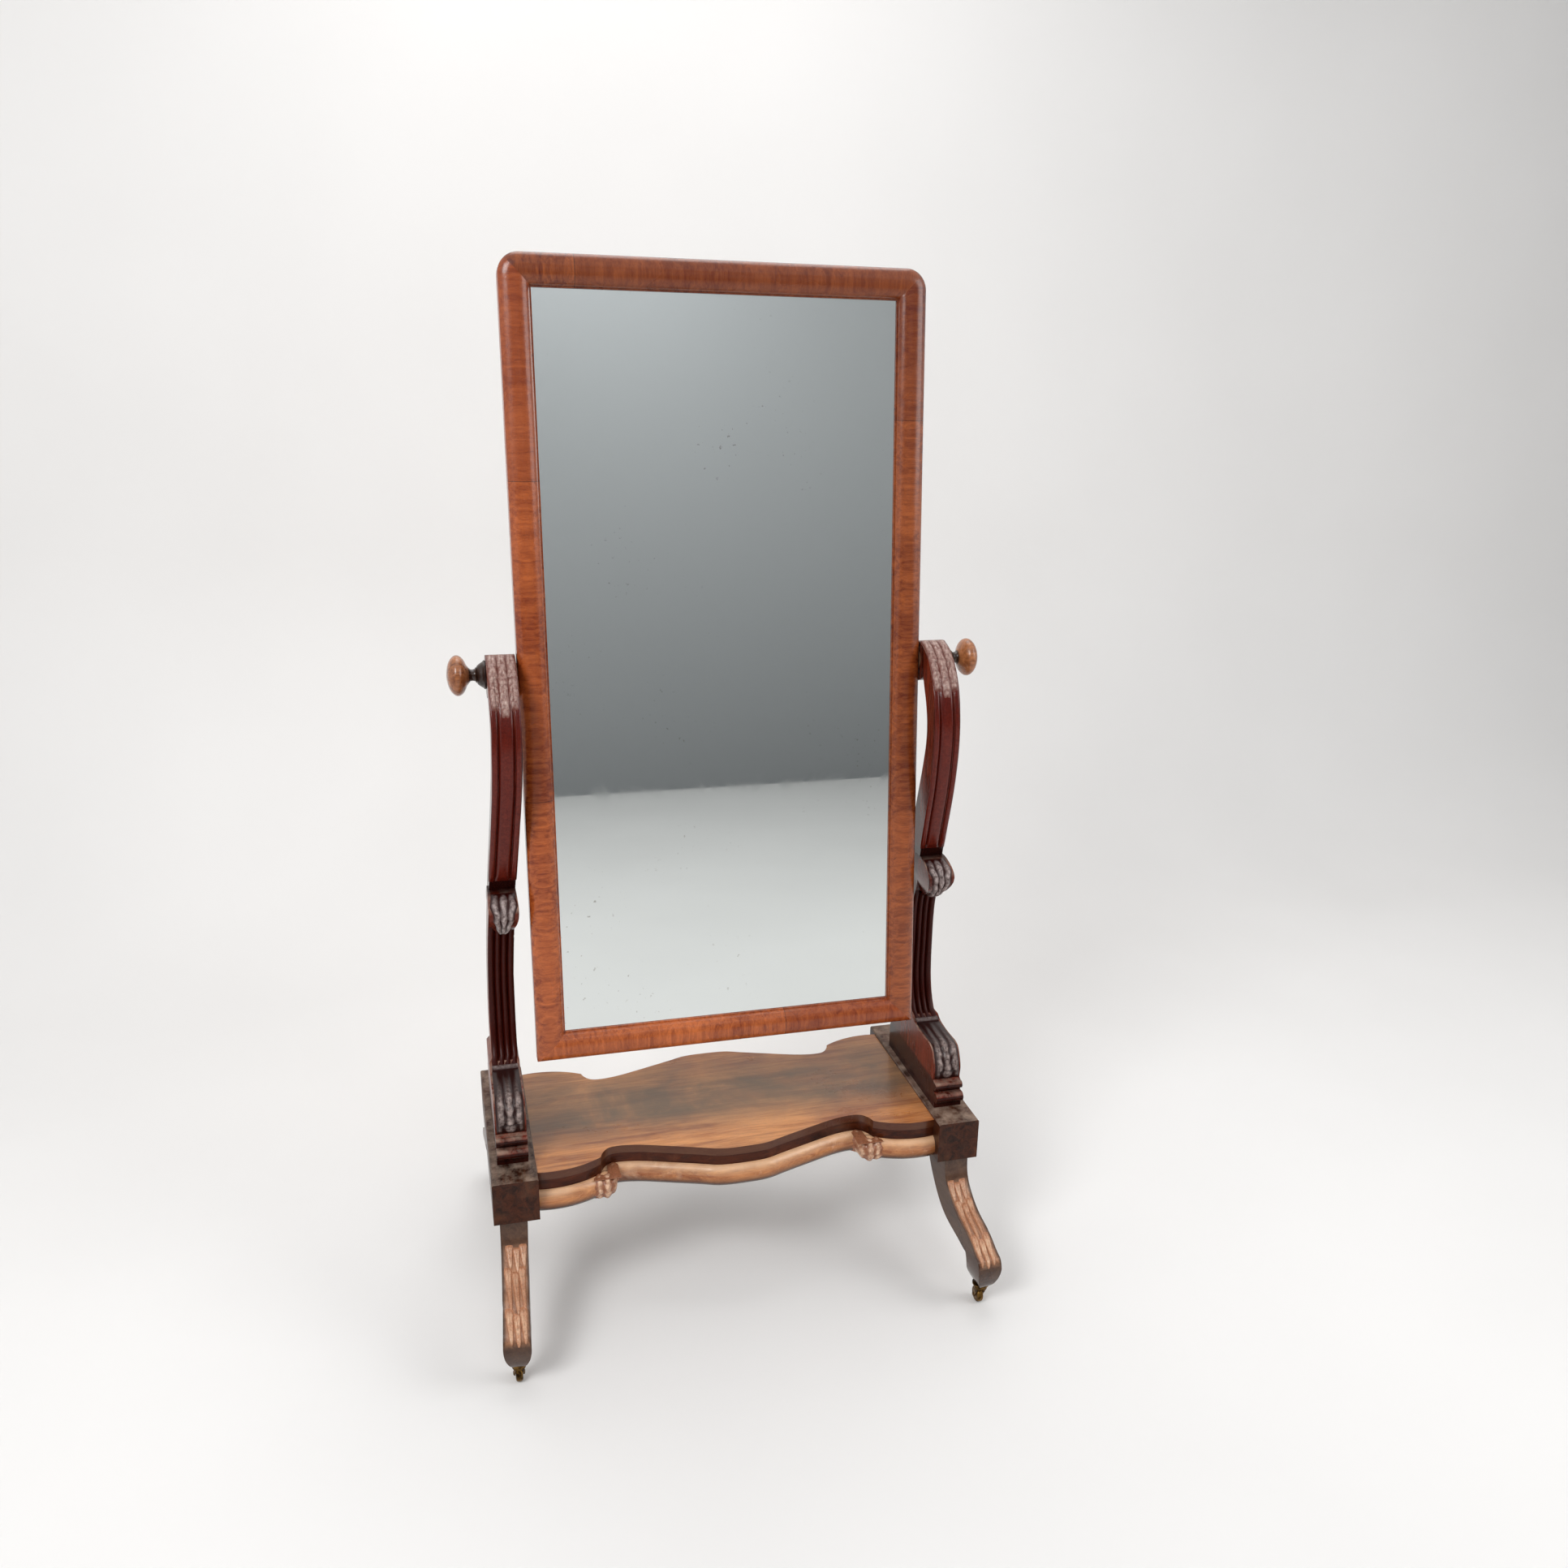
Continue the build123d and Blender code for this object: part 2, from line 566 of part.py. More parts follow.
def rebates():
    """Space behind the sight edge: a step for the glass and a wider one for the boards."""
    with BuildPart() as space:
        for spread, back, depth in ((REBATE_W, FRAME_BACK, GLASS_FRONT - FRAME_BACK),
                                    (REBATE_W + 8, FRAME_BACK, BOARD_T)):
            with BuildSketch(FACE.offset(back)):
                with Locations((0, (SIGHT_TOP - SIGHT_BOTTOM) / 2)):
                    Rectangle(SIGHT_W + 2 * spread, SIGHT_TOP + SIGHT_BOTTOM + 2 * spread)
            extrude(amount=depth)
    return space.part


def fitting_space():
    """Room let into the right hand stile for the movement plate, its sleeve and screws."""
    with BuildPart() as space:
        with BuildSketch(Plane.YZ.offset(HALF_W - PLATE_T)):
            with Locations((0, PIVOT_Z)):
                Rectangle(18, 64, rotation=PLATE_TURN)
        extrude(amount=PLATE_T + 5)
        with BuildSketch(Plane.YZ.offset(HALF_W - SLEEVE_L)):
            with Locations((0, PIVOT_Z)):
                Circle(8)
        extrude(amount=SLEEVE_L)
        for v in (-24, 24):
            with BuildSketch(Plane.YZ.offset(HALF_W - PLATE_SCREW_L)):
                with Locations((v * sin(REST_TILT), PIVOT_Z + v * cos(REST_TILT))):
                    Circle(2)
            extrude(amount=PLATE_SCREW_L)
    return space.part


stile_corner = rounded_corner(45)
rail_corner = rounded_corner(-45)
glass_rebates = rebates()
plate_space = fitting_space()

with BuildPart() as right_stile:
    stile_plane = Plane(origin=on_face(0, HEAD_V, 0), x_dir=(1, 0, 0), z_dir=-GLASS_UP)
    extrude(cushion(stile_plane, SIGHT_W / 2), amount=HEAD_V - FOOT_V)
    with BuildSketch(FACE.offset(-BIG / 2)):
        with BuildLine():
            Polyline((SIGHT_W / 2, SIGHT_TOP), (SIGHT_W / 2, -SIGHT_BOTTOM), (HALF_W, FOOT_V),
                     (HALF_W, HEAD_V - CORNER_R), (HALF_W - CORNER_R, HEAD_V - CORNER_R), (SIGHT_W / 2, SIGHT_TOP))
        make_face()
    extrude(amount=BIG, mode=Mode.INTERSECT)
    add(stile_corner)
    add(glass_rebates, mode=Mode.SUBTRACT)
    add(plate_space, mode=Mode.SUBTRACT)
save(right_stile, "right_stile")
left_stile = mirrored(right_stile, "left_stile")

with BuildPart() as top_rail:
    top_plane = Plane(origin=on_face(-HALF_W, 0, 0), x_dir=GLASS_UP, z_dir=(1, 0, 0))
    extrude(cushion(top_plane, SIGHT_TOP), amount=2 * HALF_W)
    with BuildSketch(FACE.offset(-BIG / 2)):
        with BuildLine():
            Polyline((SIGHT_W / 2, SIGHT_TOP), (HALF_W - CORNER_R, HEAD_V - CORNER_R),
                     (HALF_W - CORNER_R, HEAD_V), (CORNER_R - HALF_W, HEAD_V),
                     (CORNER_R - HALF_W, HEAD_V - CORNER_R), (-SIGHT_W / 2, SIGHT_TOP), (SIGHT_W / 2, SIGHT_TOP))
        make_face()
    extrude(amount=BIG, mode=Mode.INTERSECT)
    add(rail_corner)
    mirror(rail_corner, about=Plane.YZ)
    add(glass_rebates, mode=Mode.SUBTRACT)
save(top_rail, "top_rail")

with BuildPart() as bottom_rail:
    bottom_plane = Plane(origin=on_face(HALF_W, 0, 0), x_dir=-GLASS_UP, z_dir=(-1, 0, 0))
    extrude(cushion(bottom_plane, SIGHT_BOTTOM), amount=2 * HALF_W)
    with BuildSketch(FACE.offset(-BIG / 2)):
        with BuildLine():
            Polyline((SIGHT_W / 2, -SIGHT_BOTTOM), (HALF_W, FOOT_V), (-HALF_W, FOOT_V),
                     (-SIGHT_W / 2, -SIGHT_BOTTOM), (SIGHT_W / 2, -SIGHT_BOTTOM))
        make_face()
    extrude(amount=BIG, mode=Mode.INTERSECT)
    add(glass_rebates, mode=Mode.SUBTRACT)
save(bottom_rail, "bottom_rail")

# Glass, the softwood blocks that wedge it, and the boards behind
MIDDLE_V = (SIGHT_TOP - SIGHT_BOTTOM) / 2
SIGHT_H = SIGHT_TOP + SIGHT_BOTTOM
with BuildPart() as mirror_glass:
    with BuildSketch(FACE.offset(GLASS_FRONT - GLASS_T)):
        with Locations((0, MIDDLE_V)):
            Rectangle(SIGHT_W + 2 * (REBATE_W - GLASS_EDGE_GAP), SIGHT_H + 2 * (REBATE_W - GLASS_EDGE_GAP))
    extrude(amount=GLASS_T)
save(mirror_glass, "mirror_glass")

WEDGE_T = GLASS_FRONT - GLASS_T - FRAME_BACK - BOARD_T
with BuildPart() as glazing_wedges:
    with BuildSketch(FACE.offset(FRAME_BACK + BOARD_T)):
        with Locations((0, MIDDLE_V)):
            with GridLocations(SIGHT_W + 2 * REBATE_W - 8, 280, 2, 4):
                Rectangle(8, 45)
            with GridLocations(250, SIGHT_H + 2 * REBATE_W - 8, 2, 2):
                Rectangle(45, 8)
    extrude(amount=WEDGE_T)
save(glazing_wedges, "glazing_wedges")

BOARD_W = (SIGHT_W + 2 * REBATE_W + 14) / 3
BOARD_H = SIGHT_H + 2 * REBATE_W + 14
TONGUE = 5.0
BOARD_SCREW_U = SIGHT_W / 2 + REBATE_W + 3.5
BOARD_SCREWS = GridLocations(2 * BOARD_SCREW_U, 270, 2, 5)
for name, place in (("left_back_board", -1), ("middle_back_board", 0), ("right_back_board", 1)):
    with BuildPart() as board:
        with BuildSketch(FACE.offset(FRAME_BACK)):
            with Locations((place * BOARD_W, MIDDLE_V)):
                Rectangle(BOARD_W, BOARD_H)
        extrude(amount=BOARD_T)
        if place < 1:
            with BuildSketch(FACE.offset(FRAME_BACK + 2.5)):
                with Locations(((place + 0.5) * BOARD_W + TONGUE / 2, MIDDLE_V)):
                    Rectangle(TONGUE, BOARD_H)
            extrude(amount=3)
        if place > -1:
            with BuildSketch(FACE.offset(FRAME_BACK + 2.5)):
                with Locations(((place - 0.5) * BOARD_W + TONGUE / 2, MIDDLE_V)):
                    Rectangle(TONGUE, BOARD_H)
            extrude(amount=3, mode=Mode.SUBTRACT)
        with BuildSketch(FACE.offset(FRAME_BACK)):
            with Locations((0, MIDDLE_V)):
                with BOARD_SCREWS:
                    Circle(1.8)
        extrude(amount=BOARD_T, mode=Mode.SUBTRACT)
    save(board, name)

with BuildPart() as back_board_screws:
    with BuildSketch(FACE.offset(FRAME_BACK - 1)):
        with Locations((0, MIDDLE_V)):
            with BOARD_SCREWS:
                Circle(3.2)
    extrude(amount=1)
    with BuildSketch(FACE.offset(FRAME_BACK)):
        with Locations((0, MIDDLE_V)):
            with BOARD_SCREWS:
                Circle(1.8)
    extrude(amount=BOARD_T)
save(back_board_screws, "back_board_screws")


# Movements: a brass plate with a threaded sleeve in each stile, the stud, its knob and collar
with BuildPart() as right_movement_plate:
    with BuildSketch(Plane.YZ.offset(HALF_W - PLATE_T)):
        with Locations((0, PIVOT_Z)):
            Rectangle(18, 64, rotation=PLATE_TURN)
    extrude(amount=PLATE_T)
    with BuildSketch(Plane.YZ.offset(HALF_W - SLEEVE_L)):
        with Locations((0, PIVOT_Z)):
            Circle(8)
    extrude(amount=SLEEVE_L)
    with BuildSketch(Plane.YZ.offset(HALF_W - SLEEVE_L)):
        with Locations((0, PIVOT_Z)):
            Circle(STUD_R + STUD_FIT)
        for v in (-24, 24):
            with Locations((v * sin(REST_TILT), PIVOT_Z + v * cos(REST_TILT))):
                Circle(2)
    extrude(amount=SLEEVE_L, mode=Mode.SUBTRACT)
save(right_movement_plate, "right_movement_plate")
left_movement_plate = mirrored(right_movement_plate, "left_movement_plate")

with BuildPart() as movement_plate_screws:
    with BuildSketch(Plane.YZ.offset(HALF_W - PLATE_SCREW_L)):
        for v in (-24, 24):
            with Locations((v * sin(REST_TILT), PIVOT_Z + v * cos(REST_TILT))):
                Circle(2)
    extrude(amount=PLATE_SCREW_L)
    mirror(about=Plane.YZ)
save(movement_plate_screws, "movement_plate_screws")


def ring(start, length, outer, inner):
    """A ring on the pivot axis."""
    with BuildPart() as turned:
        with BuildSketch(Plane.YZ.offset(start)):
            with Locations((0, PIVOT_Z)):
                Circle(outer)
                Circle(inner, mode=Mode.SUBTRACT)
        extrude(amount=length)
    return turned


right_pivot_washer = ring(HALF_W, WASHER_T, 16, STUD_R + STUD_FIT)
save(right_pivot_washer, "right_pivot_washer")
left_pivot_washer = mirrored(right_pivot_washer, "left_pivot_washer")
right_pivot_bush = ring(HEAD_IN, HEAD_OUT - HEAD_IN, BUSH_R, STUD_R + STUD_FIT)
save(right_pivot_bush, "right_pivot_bush")
left_pivot_bush = mirrored(right_pivot_bush, "left_pivot_bush")

COLLAR_X = HEAD_OUT + 0.3
STUD_START = HALF_W - SLEEVE_L + 2
STUD_END = COLLAR_X + 45
with BuildPart() as right_stud:
    with BuildSketch(Plane.YZ.offset(STUD_START)):
        with Locations((0, PIVOT_Z)):
            Circle(STUD_R)
    extrude(amount=STUD_END - STUD_START)
    chamfer(right_stud.edges().group_by(Axis.X)[0], 1)
save(right_stud, "right_stud")
left_stud = mirrored(right_stud, "left_stud")

with BuildPart() as right_collar:
    with BuildSketch(Plane.XZ):
        with BuildLine():
            Polyline((COLLAR_X, PIVOT_Z + STUD_R), (COLLAR_X, PIVOT_Z + COLLAR_R),
                     (COLLAR_X + 3, PIVOT_Z + COLLAR_R))
            Spline((COLLAR_X + 3, PIVOT_Z + COLLAR_R), (COLLAR_X + 8, PIVOT_Z + 19),
                   (COLLAR_X + COLLAR_L, PIVOT_Z + 14))
            Polyline((COLLAR_X + COLLAR_L, PIVOT_Z + 14), (COLLAR_X + COLLAR_L, PIVOT_Z + STUD_R),
                     (COLLAR_X, PIVOT_Z + STUD_R))
        make_face()
    revolve(axis=Axis((0, 0, PIVOT_Z), (1, 0, 0)))
save(right_collar, "right_knob_collar")
left_collar = mirrored(right_collar, "left_knob_collar")

NECK_X = COLLAR_X + COLLAR_L
KNOB_END = NECK_X + 45
with BuildPart() as right_knob:
    with BuildSketch(Plane.XZ):
        with BuildLine():
            Polyline((NECK_X, PIVOT_Z), (NECK_X, PIVOT_Z + NECK_R + 1))
            Spline((NECK_X, PIVOT_Z + NECK_R + 1), (NECK_X + 6, PIVOT_Z + NECK_R - 1.5),
                   (NECK_X + 15, PIVOT_Z + NECK_R + 6))
            Polyline((NECK_X + 15, PIVOT_Z + NECK_R + 6), (NECK_X + 20, PIVOT_Z), (NECK_X, PIVOT_Z))
        make_face()
        with Locations((KNOB_END - HEAD_HALF, PIVOT_Z)):
            Ellipse(HEAD_HALF, KNOB_R)
        with Locations((NECK_X + 25, PIVOT_Z - 50)):
            Rectangle(BIG, BIG, mode=Mode.SUBTRACT)
        with Locations(((NECK_X + STUD_END) / 2, PIVOT_Z)):
            Rectangle(STUD_END - NECK_X, 2 * STUD_R, mode=Mode.SUBTRACT)
    revolve(axis=Axis((0, 0, PIVOT_Z), (1, 0, 0)))
save(right_knob, "right_knob")
left_knob = mirrored(right_knob, "left_knob")
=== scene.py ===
"""Looks of a cheval mirror: finishes, carving, turned knobs, camera and studio, built round the fixed frame."""
import json
import math

import bpy
from mathutils import Matrix, Vector
from mathutils.bvhtree import BVHTree

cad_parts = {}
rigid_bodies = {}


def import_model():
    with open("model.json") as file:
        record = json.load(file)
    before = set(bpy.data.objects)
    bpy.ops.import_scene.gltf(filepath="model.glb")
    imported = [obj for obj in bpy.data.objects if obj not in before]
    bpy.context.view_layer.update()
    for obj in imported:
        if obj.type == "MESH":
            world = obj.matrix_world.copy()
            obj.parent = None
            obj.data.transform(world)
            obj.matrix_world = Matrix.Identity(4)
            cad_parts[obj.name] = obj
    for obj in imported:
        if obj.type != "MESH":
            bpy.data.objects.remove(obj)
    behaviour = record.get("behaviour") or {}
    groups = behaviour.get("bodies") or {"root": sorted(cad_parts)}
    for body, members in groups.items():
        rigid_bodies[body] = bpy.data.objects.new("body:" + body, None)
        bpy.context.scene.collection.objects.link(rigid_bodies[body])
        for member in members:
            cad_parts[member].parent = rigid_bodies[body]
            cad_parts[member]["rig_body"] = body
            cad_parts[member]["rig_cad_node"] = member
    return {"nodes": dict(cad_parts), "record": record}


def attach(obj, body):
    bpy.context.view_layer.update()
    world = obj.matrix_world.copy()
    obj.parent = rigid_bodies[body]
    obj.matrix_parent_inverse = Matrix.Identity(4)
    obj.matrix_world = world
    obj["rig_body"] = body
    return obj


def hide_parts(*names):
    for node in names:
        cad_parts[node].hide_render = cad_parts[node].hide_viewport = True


bl_info = {
    "name": "Cheval Mirror",
    "version": (1, 0, 0),
    "blender": (4, 5, 0),
    "location": "3D View > Sidebar > Cheval Mirror",
    "description": "Finishes, carving and studio for a cheval mirror",
    "category": "Object",
}

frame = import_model()
NODES = frame["nodes"]
BODY_OF = {node: body for body, nodes in frame["record"]["behaviour"]["bodies"].items() for node in nodes}
SLOT_OF = {row["node"]: row["material_slot"] for row in frame["record"]["subparts"]}
SIDES = (("left", -1), ("right", 1))
CORNERS = ("right_front", "left_front", "right_rear", "left_rear")

# Places on the mirror, in metres and radians
PIVOT_Z = 1.075
REST_TILT = math.radians(4.8)
LEG_MIDDLE = 0.3705
LEG_SPLAY = math.radians(4.0)
TOE_BALL = 0.092
TOE_DEPTH = 0.048
TOE_NARROWING = 0.42
FOOT_TOP = 0.344
WAIST_HOLLOW = 0.737
KNOB_MIDDLE = 0.4153
KNOB_HALF_LENGTH = 0.016
KNUCKLE_X = 0.231
CARVING_INSET = 0.0009
CARVING_SHELL = 0.0014

# Where the photograph was taken from, and through what lens
CAMERA_PLACE = (-0.44994, -1.997, 1.50545)
CAMERA_YAW, CAMERA_PITCH, CAMERA_ROLL = (math.radians(angle) for angle in (15.635, -18.163, 1.141))
SENSOR_WIDTH = 36
LENS = 1600.07 / 1932 * SENSOR_WIDTH
LENS_SHIFT = (-0.0021, 0.01646)

# Each lamp's name, place, aim, size and power
LAMPS = (
    ("key_lamp", (-2.6, -2.4, 3.3), (0, 0, 0.9), 1.7, 105),
    ("fill_lamp", (2.9, -1.7, 2.4), (0, 0, 0.7), 2.0, 42),
    ("top_lamp", (0.2, 0.9, 3.6), (0, 0, 0.6), 2.0, 34),
    ("far_lamp", (0.5, -4.6, 3.8), (0, -6.0, 1.0), 2.0, 30),
)
SHADE_LIGHT = 0.45


def linear(red, green, blue):
    """A colour read off a picture, 0 to 255, as the shader wants it."""
    return tuple((c / 255) ** 2.2 for c in (red, green, blue)) + (1.0,)


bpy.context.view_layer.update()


class MirrorSizes(bpy.types.PropertyGroup):
    """Sizes of the carved and turned work."""
    leaf_depth: bpy.props.FloatProperty(
        name="Leaf depth", description="How far the carved leaves stand out", default=0.0042, unit="LENGTH")
    knob_radius: bpy.props.FloatProperty(
        name="Knob radius", description="Radius of each turned knob", default=0.031, unit="LENGTH")
    joint_line: bpy.props.FloatProperty(
        name="Joint line", description="Half width of a joint in the veneer", default=0.0005, unit="LENGTH")


class MirrorFinishes(bpy.types.PropertyGroup):
    """Colours of the woods and of the dust that lies on them."""
    veneer_light: bpy.props.FloatVectorProperty(
        name="Veneer light", description="Light figure of the frame veneer", subtype="COLOR", size=4,
        default=linear(186, 98, 50), min=0, max=1)
    veneer_dark: bpy.props.FloatVectorProperty(
        name="Veneer dark", description="Dark figure of the frame veneer", subtype="COLOR", size=4,
        default=linear(112, 46, 22), min=0, max=1)
    stand_light: bpy.props.FloatVectorProperty(
        name="Stand light", description="Light figure of the uprights", subtype="COLOR", size=4,
        default=linear(118, 48, 32), min=0, max=1)
    stand_dark: bpy.props.FloatVectorProperty(
        name="Stand dark", description="Dark figure of the uprights", subtype="COLOR", size=4,
        default=linear(44, 15, 11), min=0, max=1)
    dust: bpy.props.FloatVectorProperty(
        name="Dust", description="Dust and bloom that lie on the carving", subtype="COLOR", size=4,
        default=linear(160, 138, 122), min=0, max=1)


def sizes():
    return bpy.context.scene.mirror_sizes


def finishes():
    return bpy.context.scene.mirror_finishes


# Shader groups
def new_group(name, inputs, outputs):
    """An empty shader group with its sockets."""
    group = bpy.data.node_groups.new(name, "ShaderNodeTree")
    for label, kind, value in inputs:
        socket = group.interface.new_socket(label, in_out="INPUT", socket_type="NodeSocket" + kind)
        if value is not None:
            socket.default_value = value
    for label, kind in outputs:
        group.interface.new_socket(label, in_out="OUTPUT", socket_type="NodeSocket" + kind)
    return group, group.nodes.new("NodeGroupInput"), group.nodes.new("NodeGroupOutput")


def add_node(tree, kind, **settings):
    node = tree.nodes.new("ShaderNode" + kind)
    for key, value in settings.items():
        setattr(node, key, value)
    return node


def feed(tree, node, socket, source):
    """Give one input of a node a link or a plain value."""
    if isinstance(source, bpy.types.NodeSocket):
        tree.links.new(source, node.inputs[socket])
    else:
        node.inputs[socket].default_value = source


def math_node(tree, operation, first, second=0.5, third=None, clamp=False):
    node = add_node(tree, "Math", operation=operation, use_clamp=clamp)
    feed(tree, node, 0, first)
    feed(tree, node, 1, second)
    if third is not None:
        feed(tree, node, 2, third)
    return node.outputs[0]


def noise(tree, vector, scale, detail=4.0, roughness=0.55, distortion=0.0):
    node = add_node(tree, "TexNoise")
    feed(tree, node, "Vector", vector)
    feed(tree, node, "Scale", scale)
    node.inputs["Detail"].default_value = detail
    node.inputs["Roughness"].default_value = roughness
    node.inputs["Distortion"].default_value = distortion
    return node.outputs["Fac"]


def spread(tree, value, low, high, to_low=0.0, to_high=1.0):
    """Stretch a value from one range to another and stop it at the ends."""
    node = add_node(tree, "MapRange")
    node.clamp = True
    feed(tree, node, "Value", value)
    for socket, number in (("From Min", low), ("From Max", high), ("To Min", to_low), ("To Max", to_high)):
        feed(tree, node, socket, number)
    return node.outputs[0]


def mix_colour(tree, amount, first, second, way="MIX"):
    node = add_node(tree, "Mix", data_type="RGBA", blend_type=way)
    feed(tree, node, 0, amount)
    feed(tree, node, 6, first)
    feed(tree, node, 7, second)
    return node.outputs[2]


def axes_of(tree, vector):
    """The X, Y and Z of a vector as three sockets."""
    split = add_node(tree, "SeparateXYZ")
    tree.links.new(vector, split.inputs[0])
    return split.outputs


def facing_up(tree):
    """How far a face looks up: 1 on a flat top, 0 on an upright face, -1 on an underside."""
    return axes_of(tree, add_node(tree, "NewGeometry").outputs["Normal"])["Z"]


def distance_from(tree, value, level):
    return math_node(tree, "ABSOLUTE", math_node(tree, "SUBTRACT", value, level))


def wood_grain_group():
    """Figure, pores and broad colour change of a board whose grain runs along X."""
    group, ins, outs = new_group(
        "wood_grain",
        [("Vector", "Vector", None), ("Light", "Color", None), ("Dark", "Color", None), ("Fineness", "Float", 1.0),
         ("Contrast", "Float", 1.0)],
        [("Color", "Color"), ("Height", "Float"), ("Gloss Change", "Float")])
    stretch = add_node(group, "Mapping")
    stretch.inputs["Scale"].default_value = (0.09, 1, 1)
    group.links.new(ins.outputs["Vector"], stretch.inputs["Vector"])
    along = stretch.outputs[0]
    streak = noise(group, along, math_node(group, "MULTIPLY", ins.outputs["Fineness"], 70.0), 5, 0.6, 0.9)
    fine = noise(group, along, math_node(group, "MULTIPLY", ins.outputs["Fineness"], 420.0), 3, 0.6, 0.2)
    broad = noise(group, ins.outputs["Vector"], 5.0, 3, 0.5, 0.6)
    pores = noise(group, along, 1500.0, 2, 0.5)
    band = math_node(group, "MULTIPLY_ADD", math_node(group, "SUBTRACT", streak, 0.5), ins.outputs["Contrast"], 0.5)
    tone = math_node(group, "MULTIPLY_ADD", math_node(group, "SUBTRACT", fine, 0.5), 0.45, band)
    tone = math_node(group, "MULTIPLY_ADD", math_node(group, "SUBTRACT", broad, 0.5), 0.9, tone, clamp=True)
    figure = mix_colour(group, spread(group, tone, 0.22, 0.78), ins.outputs["Dark"], ins.outputs["Light"])
    pore_mask = spread(group, pores, 0.60, 0.72, 0.0, 0.35)
    colour = mix_colour(group, pore_mask, figure, (0.01, 0.004, 0.003, 1))
    group.links.new(colour, outs.inputs["Color"])
    group.links.new(math_node(group, "MULTIPLY_ADD", pore_mask, -1.0, fine), outs.inputs["Height"])
    group.links.new(spread(group, broad, 0.3, 0.7, -0.06, 0.10), outs.inputs["Gloss Change"])
    return group


def age_group():
    """Dust on faces that look up, and patches rubbed through to bare wood."""
    group, ins, outs = new_group(
        "age",
        [("Vector", "Vector", None), ("Color", "Color", None), ("Dust", "Color", None), ("Dust Amount", "Float", 0.3),
         ("Worn", "Color", None), ("Worn Amount", "Float", 0.2)],
        [("Color", "Color"), ("Dullness", "Float")])
    upward = spread(group, facing_up(group), 0.15, 0.95, 0.03, 1.0)
    speckle = spread(group, noise(group, ins.outputs["Vector"], 38.0, 6, 0.65), 0.38, 0.66)
    dust = math_node(group, "MULTIPLY", math_node(group, "MULTIPLY", upward, speckle), ins.outputs["Dust Amount"])
    dusty = mix_colour(group, dust, ins.outputs["Color"], ins.outputs["Dust"])
    patch = spread(group, noise(group, ins.outputs["Vector"], 21.0, 7, 0.62, 0.4), 0.56, 0.70)
    worn = math_node(group, "MULTIPLY", patch, ins.outputs["Worn Amount"])
    colour = mix_colour(group, worn, dusty, ins.outputs["Worn"])
    group.links.new(colour, outs.inputs["Color"])
    group.links.new(math_node(group, "MULTIPLY_ADD", dust, 0.5, math_node(group, "MULTIPLY", worn, 0.3)),
                    outs.inputs["Dullness"])
    return group


def shader_of(material):
    return next(n for n in material.node_tree.nodes if n.type == "BSDF_PRINCIPLED")


def start_material(name):
    """A material with its Principled shader and object coordinates."""
    material = bpy.data.materials.new(name)
    material.use_nodes = True
    tree = material.node_tree
    return material, tree, shader_of(material), add_node(tree, "TexCoord").outputs["Object"]


def place_group(tree, group, **values):
    node = add_node(tree, "Group")
    node.node_tree = group
    for key, value in values.items():
        feed(tree, node, key.replace("_", " "), value)
    return node


def bump(tree, shader, height, strength, distance):
    node = add_node(tree, "Bump")
    node.inputs["Strength"].default_value = strength
    node.inputs["Distance"].default_value = distance
    tree.links.new(height, node.inputs["Height"])
    tree.links.new(node.outputs[0], shader.inputs["Normal"])


GRAIN_TURN = {"x": (0, 0, 0), "y": (0, 0, math.pi / 2), "z": (0, math.pi / 2, 0), "slope": (0, 0.35, 1.3)}


def wood(name, light, dark, grain, rough=0.3, coat=0.35, dust=0.25, worn=0.1, worn_colour=(215, 170, 130),
         fineness=1.0, contrast=1.3, joints=(), joint_axis="Z", relief=0.25, shine=0.28):
    """A polished or bare wood, with the joints between its leaves of veneer where it has them."""
    groups = bpy.data.node_groups
    material, tree, shader, place = start_material(name)
    turn = add_node(tree, "Mapping")
    turn.inputs["Rotation"].default_value = GRAIN_TURN[grain]
    turn.inputs["Location"].default_value = (0.13 * (len(name) % 7), 0.21 * (len(name) % 5), 0.4)
    tree.links.new(place, turn.inputs["Vector"])
    along = axes_of(tree, place)[joint_axis]
    lightened = light
    for count, spot in enumerate(joints):
        side = math_node(tree, "GREATER_THAN", along, spot)
        shift = math_node(tree, "MULTIPLY", side, 0.22 if count % 2 else 0.34)
        lightened = mix_colour(tree, shift, lightened, dark)
    grain_node = place_group(tree, groups["wood_grain"], Vector=turn.outputs[0], Light=lightened, Dark=dark,
                             Fineness=fineness, Contrast=contrast)
    colour = grain_node.outputs["Color"]
    for spot in joints:
        line = math_node(tree, "COMPARE", along, spot, sizes().joint_line)
        colour = mix_colour(tree, math_node(tree, "MULTIPLY", line, 0.75), colour, (0.02, 0.007, 0.004, 1))
    age = place_group(tree, groups["age"], Vector=place, Color=colour, Dust=tuple(finishes().dust),
                      Dust_Amount=dust, Worn=linear(*worn_colour), Worn_Amount=worn)
    tree.links.new(age.outputs["Color"], shader.inputs["Base Color"])
    dull = math_node(tree, "ADD", grain_node.outputs["Gloss Change"], age.outputs["Dullness"])
    tree.links.new(math_node(tree, "ADD", dull, rough, clamp=True), shader.inputs["Roughness"])
    shader.inputs["Specular IOR Level"].default_value = shine
    shader.inputs["Coat Weight"].default_value = coat
    shader.inputs["Coat Roughness"].default_value = 0.16
    bump(tree, shader, grain_node.outputs["Height"], relief, 0.0006)
    return material


